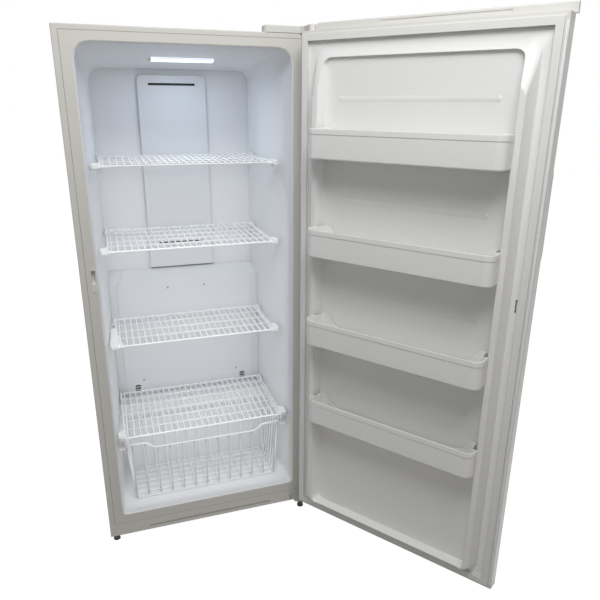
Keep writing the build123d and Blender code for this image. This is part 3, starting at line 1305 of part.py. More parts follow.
def rear_cover():
    """The cover of the machine compartment, with rows of louvres."""
    half = CAB_HALF - SHELL_T - SEAL_RUN
    depth = (CAB_D - BACK_T, CAB_D)
    body = block((-half, half), depth, (BASE_Z, ROOM_TOP - SEAL_RUN))
    for column in LOUVRE_COLUMNS:
        for row in range(LOUVRE_ROWS):
            z = LOUVRE_LOW + row * LOUVRE_PITCH
            body -= block((column - LOUVRE_W / 2, column + LOUVRE_W / 2), (depth[0] - 1, depth[1] + 1),
                          (z - LOUVRE_H / 2, z + LOUVRE_H / 2))
    gland_z = TRAY_Z + TRAY_T + BOX_SIZE[2] / 2 - 20
    body -= inward(BOX_X, (depth[0] - 1, depth[1] + 1), gland_z, GLAND_D + 1)
    save("rear_cover", body)


def control_box():
    """The electrical box on the tray, with the inlet gland of the mains lead."""
    low = TRAY_Z + TRAY_T
    rear = CAB_D - BACK_T - 3
    box = block((BOX_X - BOX_SIZE[0] / 2, BOX_X + BOX_SIZE[0] / 2), (rear - BOX_SIZE[1], rear),
                (low, low + BOX_SIZE[2]))
    box = chamfer(box.edges().filter_by(Axis.Z), 4)
    gland_z = low + BOX_SIZE[2] / 2 - 20
    box += inward(BOX_X, (rear - 1, CAB_D - 1), gland_z, GLAND_D, ROUND_SIDES)
    box -= inward(BOX_X, (rear - 10, CAB_D + 1), gland_z, GLAND_D - 8, ROUND_SIDES)
    save("control_box", box)


for build in (outer_shell, front_rail, base_pan, back_panel, inner_liner, cabinet_foam, evaporator_cover,
              cover_screws, duct_cover, light_lens, evaporator_coil, defrost_heater, evaporator_fan,
              shelf_pegs, basket, basket_runners, door_panel, door_liner, door_foam, door_top_cap,
              door_bottom_cap, door_gasket, lock_housing, lock_barrel, lock_hook, keeper_plate, door_handle,
              handle_screws, top_hinge, bottom_hinge, roller_brackets, compressor_tray, compressor,
              condenser_coil, condenser_fan, drain_pan, rear_cover, control_box):
    build()
for number in range(1, len(SHELF_Z) + 1):
    shelf(number)
    shelf_caps(number)
for number in range(1, len(BIN_RIM_Z) + 1):
    door_bin(number)
foot("foot_left", FOOT_LEFT, STEM_TOP_LEFT)
foot("foot_right", FOOT_RIGHT, STEM_TOP_RIGHT)
rear_roller("roller_left", -1)
rear_roller("roller_right", 1)
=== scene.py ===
import json
import math

import bmesh
import bpy
from mathutils import Matrix, Vector


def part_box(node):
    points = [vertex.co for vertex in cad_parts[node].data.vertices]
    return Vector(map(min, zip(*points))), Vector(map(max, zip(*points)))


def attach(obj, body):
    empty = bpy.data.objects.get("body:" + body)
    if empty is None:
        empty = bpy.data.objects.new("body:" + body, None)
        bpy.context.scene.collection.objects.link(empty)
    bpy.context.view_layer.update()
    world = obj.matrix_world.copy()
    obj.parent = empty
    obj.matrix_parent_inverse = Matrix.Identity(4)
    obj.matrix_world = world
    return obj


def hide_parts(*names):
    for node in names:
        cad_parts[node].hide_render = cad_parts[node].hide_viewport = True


# The looks of an upright freezer with its door open. Metres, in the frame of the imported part.
# Pieces made here follow the boxes of the parts they stand for, so they keep to their sizes.

MM = 0.001

# ---------------------------------------------------------------- camera
CAMERA_PLACE = (-0.29841, -2.37907, 1.69263)
CAMERA_YAW = 18.42
CAMERA_PITCH = 18.68
CAMERA_ROLL = 0.353
CAMERA_LENS = 34.834
CAMERA_SENSOR = 36.0

# ---------------------------------------------------------------- lamps, room and floor
# A lamp has its place, the point it is aimed at, its width and height, its watts and its colour.
CEILING_LIGHT = ((0.0, -1.9, 3.2), (0.1, -0.2, 1.1), (1.4, 1.0), 40, (1, 1, 1))
WINDOW_LIGHT = ((-2.2, -3.6, 2.2), (0.0, 0, 1.0), (1.6, 2.2), 5, (1, 1, 1))
FILL_LIGHT = ((1.6, -3.8, 1.0), (0.2, 0, 0.9), (2.0, 1.8), 5, (1.0, 0.9, 0.78))
MOUTH_LIGHT = ((0, -0.3, 0.75), (0, 0.3, 0.75), (0.6, 1.2), 1.0, (0.95, 0.98, 1.0))
LENS_LIGHT_DROP = 4 * MM
LENS_LIGHT_SIZE = (0.2, 0.05)
LENS_LIGHT_WATTS = 0.68
LENS_LIGHT_COLOUR = (0.72, 0.84, 1.0)
ROOM_LIGHT = 0.16
FLOOR_REACH = 14.0
FLOOR_SIDES = 48
FLOOR_COLOUR = (0.4, 0.39, 0.375, 1)
FLOOR_GLOW = 0.95

# ---------------------------------------------------------------- wires of the shelves and the basket
WIRE_R = 2.8 * MM
FRAME_R = 3.4 * MM
RIM_R = 4.2 * MM
WIRE_SIDES = 10
BEND_STEPS = 5
BEND_SHARE = 0.45
SHELF_WIRES = 26
SHELF_ROWS = (6, 6, 5, 7)
SHELF_WIDER = (10 * MM, 10 * MM, 10 * MM, 5 * MM)
SHELF_FRAME_BEND = 18 * MM
SHELF_WIRE_BEND = 6 * MM
BASKET_WIRES = 13
BASKET_ROWS = 7
BASKET_BEND = 14 * MM
BASKET_SIDE_LEAN = 30 * MM
BASKET_FRONT_LEAN = 12 * MM
BASKET_REAR_LEAN = 24 * MM
BASKET_ROW_INSET = 24 * MM
RIM_BEND = 20 * MM
RIM_DIP = 26 * MM
RIM_DIP_OUTER = 240 * MM
RIM_DIP_INNER = 213 * MM

# ---------------------------------------------------------------- door and its bins
DOOR_OPEN = math.radians(126.23)
PIN = Vector((0.4045, -0.381, 0))
BINS = 4
BIN_PROUD = 1.5 * MM
BIN_BACK_INSET = 16.0 * MM
BIN_STEP = 42.0 * MM
BIN_CORNER = 30.0 * MM
BIN_LEAST_WALL = 10.0 * MM
BIN_EAR = 30.0 * MM
BIN_ARCH_RUN = 56.0 * MM
BIN_ARCH_DROP = 48.0 * MM
BACK_POINTS = 56
ARC_POINTS = 8
# The skin of a bin, ring by ring, outside and then inside, in millimetres: how far in from the outline, and
# how high. The height is counted up from the underside, or down from the rim where the third value is True.
BIN_BAND = 17.5
BIN_SKIN = ((9, 0.0, False), (4.5, 0.6, False), (1.3, 3.2, False), (0, 7, False), (0, BIN_BAND + 1.6, True),
            (-1.5, BIN_BAND - 0.6, True), (-1.5, 1.6, True), (-1.1, 0.5, True), (-0.2, 0, True),
            (1.3, 0, True), (2.2, 0.5, True), (2.5, 1.6, True), (2.5, BIN_BAND, True), (2.5, 10, False),
            (4, 5.2, False), (7, 3, False), (12, 2.5, False))

# ---------------------------------------------------------------- the food space
MOUTH_Y = -0.32
MOUTH_HALF = 0.3545
REAR_HALF = 0.322
ROOM_DEPTH = 0.545

# ---------------------------------------------------------------- the moulded ends of the shelves
# A side is -1 on the left and 1 on the right. One shelf has a long cap, on one side.
LONG_CAP = (3, -1)
CAP_T = 15.0 * MM
CAP_RUN = 62.0 * MM
CAP_LONG_RUN = 200.0 * MM
CAP_OUT = {-1: 0.341, 1: 0.334}
CAP_LAP = 4.0 * MM
CAP_GAP = 3.0 * MM
CAP_TAPER = 2.0 * MM
CAP_NOSE = 6.0 * MM
CAP_NOSE_RUN = 8.0 * MM
CAP_TAIL = 5.0 * MM
CAP_TAIL_RUN = 12.0 * MM
CAP_ROUND = 1.6 * MM
CAP_ROUND_STEPS = 3
CORNER_PLATE = 24.0 * MM
CORNER_PLATE_T = 4.0 * MM
CORNER_PLATE_LAP = 2.0 * MM
CORNER_PLATE_LIFT = 3.0 * MM
CORNER_PLATE_FRONT = 3.0 * MM
CORNER_PLATE_REAR = 6.0 * MM
WEB_T = 3.0 * MM
WEB_INSET = 3.0 * MM
WEB_LAP = 1.0 * MM
WEB_FRONT = 8.0 * MM
WEB_TIP = 20.0 * MM
WEB_DROP = 38.0 * MM
CLIP_GAP = 2.5 * MM
CLIP_PROUD = 5.0 * MM
CLIP_SLOPE = 4.0 * MM

# ---------------------------------------------------------------- the covers of the food space
COVER_BROW_Z = 0.96
COVER_EDGE = 3.0 * MM
COVER_END = 2.0 * MM
COVER_LAP = 30.0 * MM
FLANGE_T = 1.5 * MM
FLANGE_GAP = 0.4 * MM
AIR_SLOT_Z = (1.765, 1.102)
# Dark sheets behind the air slots, which are painted shade.
SLOT_SHADE_HALF = 0.1
SLOT_SHADE_RISE = 12.0 * MM
SLOT_SHADE_FLAT = 7.0 * MM
SLOT_SHADE_DEPTH = 6.0 * MM
SLOT_SHADE_T = 2.0 * MM
SLOT_SHADE_SET_BACK = 3.5 * MM

# ---------------------------------------------------------------- toned zones of the finishes
# A zone is a box in metres. A side that lies far past the object, such as 1 or 3, leaves it open there.
FLANGE_Y = (MOUTH_Y - 1.5 * MM, MOUTH_Y + 1.2 * MM)
SEAM_X = (-0.3912, 0.3912)
SEAM_Z = 1.9022
SEAM_LINE = 1.4 * MM
SEAM_FADE = 0.4 * MM
# The rail's slot is toned darker: painted shade in the slot.
RAIL_SLOT = ((-0.257, -0.33, 0.0395), (0.257, -0.30, 0.0485))
RAIL_SLOT_FADE = 1.5 * MM
LENS_STRIP = 40.0 * MM
LENS_EDGE = 3.0 * MM
LENS_GLOW = 1.6
# The basket's front wires get a greyer tone: painted shade.
FRONT_WIRES = 20.0 * MM
FRONT_WIRES_DROP = 12.0 * MM
FRONT_WIRES_FADE = 6.0 * MM
UPPER_HINGE = ((-1, -2, 1), (1, 2, 3), 0.01)

# ---------------------------------------------------------------- surfaces
GRAIN_DEPTH = 0.4 * MM
RAY_SAMPLES = 4
# Gain of the edge mask that lightens edges, partly wear and partly painted highlight.
WEAR_AND_HIGHLIGHT_GAIN = 1.2
WELD = 0.01 * MM
SMOOTH_ANGLE = math.radians(32)

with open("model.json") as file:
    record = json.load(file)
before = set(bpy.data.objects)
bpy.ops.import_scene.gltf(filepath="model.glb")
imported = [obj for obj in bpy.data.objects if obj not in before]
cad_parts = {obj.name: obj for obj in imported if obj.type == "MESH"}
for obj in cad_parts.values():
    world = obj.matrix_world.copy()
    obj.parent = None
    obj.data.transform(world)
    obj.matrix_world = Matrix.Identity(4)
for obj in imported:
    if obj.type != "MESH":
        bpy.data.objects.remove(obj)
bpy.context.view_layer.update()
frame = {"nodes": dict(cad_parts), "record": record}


def srgb(red, green, blue):
    """A linear colour from the 0 to 255 values seen on a screen."""
    def linear(value):
        value = value / 255
        return value / 12.92 if value <= 0.04045 else ((value + 0.055) / 1.055) ** 2.4

    return (linear(red), linear(green), linear(blue), 1.0)


# ================================================================ camera, lights and floor
def make_camera():
    """The camera of the photograph: turned right of straight ahead, tipped down and rolled a little."""
    yaw = math.radians(CAMERA_YAW)
    pitch = math.radians(CAMERA_PITCH)
    roll = math.radians(CAMERA_ROLL)
    forward = Vector((math.sin(yaw) * math.cos(pitch), math.cos(yaw) * math.cos(pitch), -math.sin(pitch)))
    level_right = Vector((math.cos(yaw), -math.sin(yaw), 0))
    level_up = level_right.cross(forward)
    right = level_right * math.cos(roll) + level_up * math.sin(roll)
    up = level_up * math.cos(roll) - level_right * math.sin(roll)
    data = bpy.data.cameras.new("camera")
    data.lens = CAMERA_LENS
    data.sensor_width = CAMERA_SENSOR
    data.sensor_fit = "HORIZONTAL"
    data.dof.use_dof = False
    camera = bpy.data.objects.new("camera", data)
    turn = Matrix((right, up, -forward)).transposed().to_4x4()
    camera.matrix_world = Matrix.Translation(CAMERA_PLACE) @ turn
    bpy.context.scene.collection.objects.link(camera)
    bpy.context.scene.camera = camera


def area_light(name, place, target, size, watts, colour):
    """A soft rectangular lamp, aimed from one point at another."""
    data = bpy.data.lights.new(name, "AREA")
    data.shape = "RECTANGLE"
    data.size, data.size_y = size
    data.energy = watts
    data.color = colour
    lamp = bpy.data.objects.new(name, data)
    lamp.location = place
    aim = Vector(target) - Vector(place)
    lamp.rotation_mode = "QUATERNION"
    lamp.rotation_quaternion = aim.to_track_quat("-Z", "Y")
    bpy.context.scene.collection.objects.link(lamp)
    return lamp


def make_lights():
    """The lamps of the room, the lit lens in the food space's ceiling and a soft light in its mouth."""
    area_light("ceiling_light", *CEILING_LIGHT)
    area_light("window_light", *WINDOW_LIGHT)
    area_light("fill_light", *FILL_LIGHT)
    low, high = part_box("light_lens")
    x, y = (low.x + high.x) / 2, (low.y + high.y) / 2
    lens = area_light("lens_light", (x, y, low.z - LENS_LIGHT_DROP), (x, y, 0), LENS_LIGHT_SIZE,
                      LENS_LIGHT_WATTS, LENS_LIGHT_COLOUR)
    lens.visible_camera = False
    mouth = area_light("mouth_light", *MOUTH_LIGHT)
    mouth.visible_camera = False
    mouth.visible_glossy = False


def seen_directly(tree):
    """One on rays from the camera, off a mirror or through glass, and zero on those that carry light."""
    path = tree.nodes.new("ShaderNodeLightPath")
    seen = add_math(tree, "ADD", path.outputs["Is Camera Ray"], path.outputs["Is Glossy Ray"])
    return add_math(tree, "ADD", seen, path.outputs["Is Transmission Ray"], clamp=True)


def make_world():
    """A pale room whose walls look white wherever they are seen or mirrored."""
    world = bpy.data.worlds.new("room")
    bpy.context.scene.world = world
    world.use_nodes = True
    tree = world.node_tree
    tree.nodes.clear()
    strength = tree.nodes.new("ShaderNodeMapRange")
    strength.inputs["To Min"].default_value = ROOM_LIGHT
    strength.inputs["To Max"].default_value = 1.0
    tree.links.new(seen_directly(tree), strength.inputs["Value"])
    back = tree.nodes.new("ShaderNodeBackground")
    back.inputs["Color"].default_value = (1, 1, 1, 1)
    tree.links.new(strength.outputs["Result"], back.inputs["Strength"])
    out = tree.nodes.new("ShaderNodeOutputWorld")
    tree.links.new(back.outputs["Background"], out.inputs["Surface"])


def make_floor():
    """A wide round floor that falls away white and keeps the shadow of the object."""
    turns = [math.tau * k / FLOOR_SIDES for k in range(FLOOR_SIDES)]
    points = [(FLOOR_REACH * math.cos(turn), FLOOR_REACH * math.sin(turn), 0) for turn in turns]
    mesh = bpy.data.meshes.new("floor")
    mesh.from_pydata(points, [], [list(range(FLOOR_SIDES))])
    paint = bpy.data.materials.new("floor_paint")
    paint.use_nodes = True
    tree = paint.node_tree
    shader = tree.nodes["Principled BSDF"]
    shader.inputs["Base Color"].default_value = FLOOR_COLOUR
    shader.inputs["Roughness"].default_value = 0.9
    shader.inputs["Specular IOR Level"].default_value = 0.1
    shader.inputs["Emission Color"].default_value = (1, 1, 1, 1)
    glow = add_math(tree, "MULTIPLY", seen_directly(tree), FLOOR_GLOW)
    tree.links.new(glow, shader.inputs["Emission Strength"])
    mesh.materials.append(paint)
    floor = bpy.data.objects.new("floor", mesh)
    bpy.context.scene.collection.objects.link(floor)


# ================================================================ node helpers
def add_math(tree, kind, first, second, clamp=False):
    """A math node on two values, each a socket or a number."""
    node = tree.nodes.new("ShaderNodeMath")
    node.operation = kind
    node.use_clamp = clamp
    for socket, value in zip(node.inputs, (first, second)):
        if isinstance(value, (int, float)):
            socket.default_value = value
        else:
            tree.links.new(value, socket)
    return node.outputs[0]


def add_vector(tree, kind, first, second):
    """A vector math node on two sockets; to scale, the second is a number."""
    node = tree.nodes.new("ShaderNodeVectorMath")
    node.operation = kind
    tree.links.new(first, node.inputs[0])
    tree.links.new(second, node.inputs["Scale" if kind == "SCALE" else 1])
    return node.outputs["Value" if kind == "DOT_PRODUCT" else "Vector"]


def add_mix(tree, factor, first, second):
    """A colour mix, each part a socket or a value."""
    node = tree.nodes.new("ShaderNodeMix")
    node.data_type = "RGBA"
    for name, value in (("Factor_Float", factor), ("A_Color", first), ("B_Color", second)):
        socket = next(s for s in node.inputs if s.identifier == name)
        if hasattr(value, "is_output"):
            tree.links.new(value, socket)
        else:
            socket.default_value = value
    return next(s for s in node.outputs if s.identifier == "Result_Color")


def make_group(name, inputs, outputs):
    """An empty node group with named sockets; returns its tree, input node and output node."""
    tree = bpy.data.node_groups.new(name, "ShaderNodeTree")
    for label, kind, value in inputs:
        socket = tree.interface.new_socket(name=label, in_out="INPUT", socket_type=kind)
        if value is not None:
            socket.default_value = value
    for label, kind in outputs:
        tree.interface.new_socket(name=label, in_out="OUTPUT", socket_type=kind)
    return tree, tree.nodes.new("NodeGroupInput"), tree.nodes.new("NodeGroupOutput")


FLOAT = "NodeSocketFloat"
COLOUR = "NodeSocketColor"
VECTOR = "NodeSocketVector"


def grain_group():
    """Slow change of tone, fine texture of the surface and uneven shine."""
    tree, given, out = make_group(
        "surface_grain",
        [("Colour", COLOUR, (0.8, 0.8, 0.8, 1)), ("Tone", FLOAT, 0.04), ("Tone Scale", FLOAT, 3.0),
         ("Grain", FLOAT, 0.05), ("Grain Scale", FLOAT, 900.0), ("Roughness", FLOAT, 0.4),
         ("Roughness Spread", FLOAT, 0.08), ("Stretch", VECTOR, (1, 1, 1)), ("Normal", VECTOR, None)],
        [("Colour", COLOUR), ("Roughness", FLOAT), ("Normal", VECTOR)])
    place = tree.nodes.new("ShaderNodeTexCoord")
    stretched = add_vector(tree, "MULTIPLY", place.outputs["Object"], given.outputs["Stretch"])

    def noise(scale, detail):
        node = tree.nodes.new("ShaderNodeTexNoise")
        node.inputs["Detail"].default_value = detail
        tree.links.new(stretched, node.inputs["Vector"])
        tree.links.new(scale, node.inputs["Scale"])
        return node.outputs["Fac"]

    slow = noise(given.outputs["Tone Scale"], 3.0)
    fine = noise(given.outputs["Grain Scale"], 1.5)
    centred = add_math(tree, "SUBTRACT", slow, 0.5)
    tone = add_math(tree, "MULTIPLY", centred, given.outputs["Tone"])
    tone = add_math(tree, "ADD", tone, 1.0)
    toned = add_vector(tree, "SCALE", given.outputs["Colour"], tone)
    tree.links.new(toned, out.inputs["Colour"])
    spread = add_math(tree, "MULTIPLY", centred, given.outputs["Roughness Spread"])
    rough = add_math(tree, "ADD", given.outputs["Roughness"], spread, clamp=True)
    tree.links.new(rough, out.inputs["Roughness"])
    bump = tree.nodes.new("ShaderNodeBump")
    bump.inputs["Distance"].default_value = GRAIN_DEPTH
    tree.links.new(given.outputs["Grain"], bump.inputs["Strength"])
    tree.links.new(fine, bump.inputs["Height"])
    tree.links.new(given.outputs["Normal"], bump.inputs["Normal"])
    tree.links.new(bump.outputs["Normal"], out.inputs["Normal"])
    return tree


def edge_group():
    """Softened edges, with a mask that is strong on the edges themselves."""
    tree, given, out = make_group(
        "soft_edges", [("Radius", FLOAT, 0.0012), ("Gain", FLOAT, 2.5)],
        [("Mask", FLOAT), ("Normal", VECTOR)])
    bevel = tree.nodes.new("ShaderNodeBevel")
    bevel.samples = RAY_SAMPLES
    tree.links.new(given.outputs["Radius"], bevel.inputs["Radius"])
    flat = tree.nodes.new("ShaderNodeNewGeometry")
    along = add_vector(tree, "DOT_PRODUCT", bevel.outputs["Normal"], flat.outputs["Normal"])
    away = add_math(tree, "SUBTRACT", 1.0, along)
    mask = add_math(tree, "MULTIPLY", away, given.outputs["Gain"], clamp=True)
    tree.links.new(mask, out.inputs["Mask"])
    tree.links.new(bevel.outputs["Normal"], out.inputs["Normal"])
    return tree


def corner_dust_group():
    """A mask of painted shade that gathers in inner corners."""
    tree, given, out = make_group(
        "painted_corner_shade", [("Distance", FLOAT, 0.03), ("Amount", FLOAT, 0.5)], [("Mask", FLOAT)])
    shade = tree.nodes.new("ShaderNodeAmbientOcclusion")
    shade.samples = RAY_SAMPLES
    tree.links.new(given.outputs["Distance"], shade.inputs["Distance"])
    hidden = add_math(tree, "SUBTRACT", 1.0, shade.outputs["AO"])
    mask = add_math(tree, "MULTIPLY", hidden, given.outputs["Amount"], clamp=True)
    tree.links.new(mask, out.inputs["Mask"])
    return tree


def zone_group():
    """A mask that is full inside a box of the object's own space and fades over a short way."""
    tree, given, out = make_group(
        "zone", [("Low", VECTOR, (-9, -9, -9)), ("High", VECTOR, (9, 9, 9)), ("Fade", FLOAT, 0.0005)],
        [("Mask", FLOAT)])
    place = tree.nodes.new("ShaderNodeTexCoord").outputs["Object"]
    mask = 1.0
    for first, second in ((place, given.outputs["Low"]), (given.outputs["High"], place)):
        axes = tree.nodes.new("ShaderNodeSeparateXYZ")
        tree.links.new(add_vector(tree, "SUBTRACT", first, second), axes.inputs[0])
        for axis in axes.outputs:
            share = add_math(tree, "DIVIDE", axis, given.outputs["Fade"], clamp=True)
            mask = add_math(tree, "MULTIPLY", share, mask)
    tree.links.new(mask, out.inputs["Mask"])
    return tree


GROUPS = {"grain": grain_group(), "edges": edge_group(), "corner_shade": corner_dust_group(), "zone": zone_group()}


def use_group(tree, key, **values):
    """One use of a group, its sockets set by name with underscores for spaces."""
    node = tree.nodes.new("ShaderNodeGroup")
    node.node_tree = GROUPS[key]
    for name, value in values.items():
        socket = node.inputs[name.replace("_", " ")]
        if hasattr(value, "is_output"):
            tree.links.new(value, socket)
        else:
            socket.default_value = value
    return node


FINISHES = {}


def add_finish(name, colour, rough, tone=0.03, grain=0.05, grain_scale=900.0, spread=0.08, radius=0.0012,
               stretch=(1, 1, 1), wear_and_highlight=None, corner_shade=None, corner_shade_amount=0.3, metallic=0.0, specular=0.5,
               coat=0.0, glow=None, zones=()):
    """A procedural finish with its colours as seen on a screen: grain, softened edges with a lighter colour
    that is partly wear and partly painted highlight, painted shade in the corners, and toned zones, some of
    them painted shade, of which the last one lights up where the finish glows."""
    material = bpy.data.materials.new(name)
    material.use_nodes = True
    tree = material.node_tree
    shader = tree.nodes["Principled BSDF"]
    edges = use_group(tree, "edges", Radius=radius, Gain=WEAR_AND_HIGHLIGHT_GAIN)
    grained = use_group(tree, "grain", Colour=srgb(*colour), Tone=tone, Grain=grain,
                        Grain_Scale=grain_scale, Roughness=rough, Roughness_Spread=spread,
                        Stretch=stretch, Normal=edges.outputs["Normal"])
    shown = grained.outputs["Colour"]
    # Edges take a lighter colour: partly wear, partly painted highlight.
    if wear_and_highlight is not None:
        shown = add_mix(tree, edges.outputs["Mask"], shown, srgb(*wear_and_highlight))
    # Inner corners darken towards a grey: painted shade.
    if corner_shade is not None:
        corners = use_group(tree, "corner_shade", Amount=corner_shade_amount)
        shown = add_mix(tree, corners.outputs["Mask"], shown, srgb(*corner_shade))
    for low, high, fade, tone_there in zones:
        inside = use_group(tree, "zone", Low=low, High=high, Fade=fade).outputs["Mask"]
        if tone_there is not None:
            shown = add_mix(tree, inside, shown, srgb(*tone_there))
    if glow is not None:
        lit = add_mix(tree, inside, (0, 0, 0, 1), srgb(*glow))
        tree.links.new(lit, shader.inputs["Emission Color"])
        shader.inputs["Emission Strength"].default_value = LENS_GLOW
    tree.links.new(shown, shader.inputs["Base Color"])
    tree.links.new(grained.outputs["Roughness"], shader.inputs["Roughness"])
    tree.links.new(grained.outputs["Normal"], shader.inputs["Normal"])
    shader.inputs["Metallic"].default_value = metallic
    shader.inputs["Specular IOR Level"].default_value = specular
    shader.inputs["Coat Weight"].default_value = coat
    FINISHES[name] = material


def flange_zones(paint, seam):
    """The liner's flange in the colour of the cabinet, with the seam lines along its outer edges."""
    front, rear = FLANGE_Y
    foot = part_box("inner_liner")[0].z + SEAM_LINE
    spans = [((-1, front, -1), (1, rear, 3), paint),
             ((-1, front, 0), (SEAM_X[0], rear, 3), seam),
             ((SEAM_X[1], front, 0), (1, rear, 3), seam),
             ((-1, front, SEAM_Z), (1, rear, 3), seam),
             ((-1, front, 0), (1, rear, foot), seam)]
    return [(low, high, SEAM_FADE, tone) for low, high, tone in spans]


def front_wires_zone():
    """The upright wires in the basket's front, which stand in its own shade; their greyer tone is painted
    shade.
    """
    low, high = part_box("basket")
    return (-1, low.y - MM, low.z), (1, low.y + FRONT_WIRES, high.z - FRONT_WIRES_DROP)


def lens_strip_zone():
    """The front strip of the lens, where the lamp shines through."""
    low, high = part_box("light_lens")
    return (low.x + LENS_EDGE, low.y - MM, 0), (high.x - LENS_EDGE, low.y + LENS_STRIP, 3)


def make_finishes():
    """Every material slot of the record, by its name, and two more tones of the same plastic."""
    # painted sheet
    # The darker tone in the rail slot is painted shade.
    add_finish("cabinet_paint", (216, 214, 208), 0.36, tone=0.02, grain=0.12, grain_scale=420,
               wear_and_highlight=(228, 227, 224), coat=0.15, zones=[(*RAIL_SLOT, RAIL_SLOT_FADE, (168, 165, 158))])
    add_finish("door_paint", (218, 217, 214), 0.34, tone=0.02, grain=0.12, grain_scale=420,
               wear_and_highlight=(230, 229, 226), coat=0.15)
    add_finish("hinge_grey", (176, 175, 171), 0.5, tone=0.05, grain=0.15, grain_scale=500,
               wear_and_highlight=(196, 195, 192), zones=[(*UPPER_HINGE, (52, 52, 54))])

    # white plastics and the coated wires
    # The grey corner colours of the white plastics below are painted shade.
    add_finish("liner_white", (240, 241, 243), 0.42, tone=0.015, grain=0.08, grain_scale=700,
               corner_shade=(176, 176, 174), corner_shade_amount=0.2, radius=0.002,
               zones=flange_zones((216, 214, 208), (150, 148, 142)))
    add_finish("door_white", (243, 243, 242), 0.42, tone=0.015, grain=0.08, grain_scale=700,
               corner_shade=(176, 176, 174), corner_shade_amount=0.2, radius=0.002)
    add_finish("cover_white", (230, 232, 235), 0.38, tone=0.015, grain=0.05, corner_shade=(176, 176, 174),
               corner_shade_amount=0.35, radius=0.0015)
    add_finish("cap_white", (246, 247, 247), 0.4, tone=0.02, wear_and_highlight=(249, 250, 250), radius=0.0018)
    add_finish("trim_white", (222, 221, 217), 0.4, tone=0.02, wear_and_highlight=(232, 231, 228), radius=0.0018)
    add_finish("bin_white", (244, 244, 242), 0.34, tone=0.015, grain=0.03, wear_and_highlight=(248, 248, 246),
               radius=0.0015, coat=0.1)
    # The greyer tone of the basket's front wires is painted shade.
    add_finish("wire_white", (249, 250, 251), 0.36, tone=0.02, grain=0.1, grain_scale=500, radius=0.0004,
               zones=[(*front_wires_zone(), FRONT_WIRES_FADE, (196, 198, 200))])
    add_finish("seal_white", (239, 239, 237), 0.62, tone=0.03, grain=0.1, grain_scale=600,
               corner_shade=(176, 176, 173), corner_shade_amount=0.2, specular=0.3)
    add_finish("lens_frost", (226, 230, 236), 0.5, grain=0.3, grain_scale=260, stretch=(1, 0.08, 1),
               glow=(236, 243, 255), zones=[(*lens_strip_zone(), LENS_EDGE, None)])

    # bare metal
    add_finish("screw_steel", (168, 170, 172), 0.32, metallic=1.0, tone=0.06, grain=0.2, grain_scale=1200,
               radius=0.0004, wear_and_highlight=(205, 206, 207))
    add_finish("zinc_steel", (158, 161, 163), 0.42, metallic=1.0, tone=0.12, grain=0.25, grain_scale=160,
               spread=0.2, wear_and_highlight=(196, 198, 199))
    add_finish("lock_metal", (150, 151, 152), 0.28, metallic=1.0, tone=0.05, grain=0.1, radius=0.0005,
               wear_and_highlight=(196, 196, 196))
    add_finish("coil_aluminium", (190, 193, 196), 0.34, metallic=1.0, tone=0.08, grain=0.25,
               grain_scale=500, radius=0.0003)

    # the machine, the feet and the foam
    add_finish("compressor_black", (26, 26, 28), 0.32, tone=0.1, grain=0.25, grain_scale=300,
               wear_and_highlight=(60, 60, 62), coat=0.3)
    add_finish("coil_black", (30, 30, 31), 0.45, tone=0.1, grain=0.2, radius=0.0003, wear_and_highlight=(66, 66, 66))
    add_finish("mount_rubber", (38, 37, 37), 0.8, tone=0.1, grain=0.3, grain_scale=500, specular=0.25)
    add_finish("foot_black", (34, 34, 35), 0.55, tone=0.15, grain=0.2, grain_scale=400, wear_and_highlight=(70, 70, 71))
    add_finish("fan_grey", (70, 72, 74), 0.5, tone=0.05, grain=0.15, wear_and_highlight=(98, 100, 102))
    add_finish("pan_grey", (96, 98, 100), 0.55, tone=0.05, grain=0.15, wear_and_highlight=(124, 126, 128))
    add_finish("insulation", (214, 203, 160), 0.9, tone=0.12, grain=0.8, grain_scale=300, spread=0.05,
               specular=0.2)


make_finishes()


# ================================================================ shading and new pieces
def smoothing_tree():
    """Geometry nodes that join the flat runs, drop imported normals and keep the true edges sharp."""
    tree = bpy.data.node_groups.new("smooth_runs", "GeometryNodeTree")
    for way in ("INPUT", "OUTPUT"):
        tree.interface.new_socket(name="Geometry", in_out=way, socket_type="NodeSocketGeometry")
    given = tree.nodes.new("NodeGroupInput")
    out = tree.nodes.new("NodeGroupOutput")
    drop = tree.nodes.new("GeometryNodeRemoveAttribute")
    drop.inputs["Name"].default_value = "custom_normal"
    join = tree.nodes.new("GeometryNodeMergeByDistance")
    join.inputs["Distance"].default_value = WELD
    faces = tree.nodes.new("GeometryNodeSetShadeSmooth")
    faces.domain = "FACE"
    edges = tree.nodes.new("GeometryNodeSetShadeSmooth")
    edges.domain = "EDGE"
    edges.inputs["Shade Smooth"].default_value = False
    angle = tree.nodes.new("GeometryNodeInputMeshEdgeAngle")
    sharp = add_math(tree, "GREATER_THAN", angle.outputs["Unsigned Angle"], SMOOTH_ANGLE)
    tree.links.new(sharp, edges.inputs["Selection"])
    run = given.outputs[0]
    for node in (drop, join, faces, edges):
        tree.links.new(run, node.inputs["Geometry"])
        run = node.outputs["Geometry"]
    tree.links.new(run, out.inputs[0])
    return tree


SMOOTHING = smoothing_tree()


def smooth_runs(piece):
    """Shades the short flat runs of a round form as one curve, with its large faces kept flat."""
    piece.modifiers.new("smooth_runs", "NODES").node_group = SMOOTHING
    even = piece.modifiers.new("even_faces", "WEIGHTED_NORMAL")
    even.keep_sharp = True


def new_piece(name, verts, faces, body, slot, *nodes):
    """A piece made here: it rides on a body, has a finish and stands for the nodes that are named."""
    mesh = bpy.data.meshes.new(name)
    mesh.from_pydata(verts, [], faces)
    mesh.materials.append(FINISHES[slot])
    piece = bpy.data.objects.new(name, mesh)
    bpy.context.scene.collection.objects.link(piece)
    if nodes:
        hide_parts(*nodes)
    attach(piece, body)
    return piece


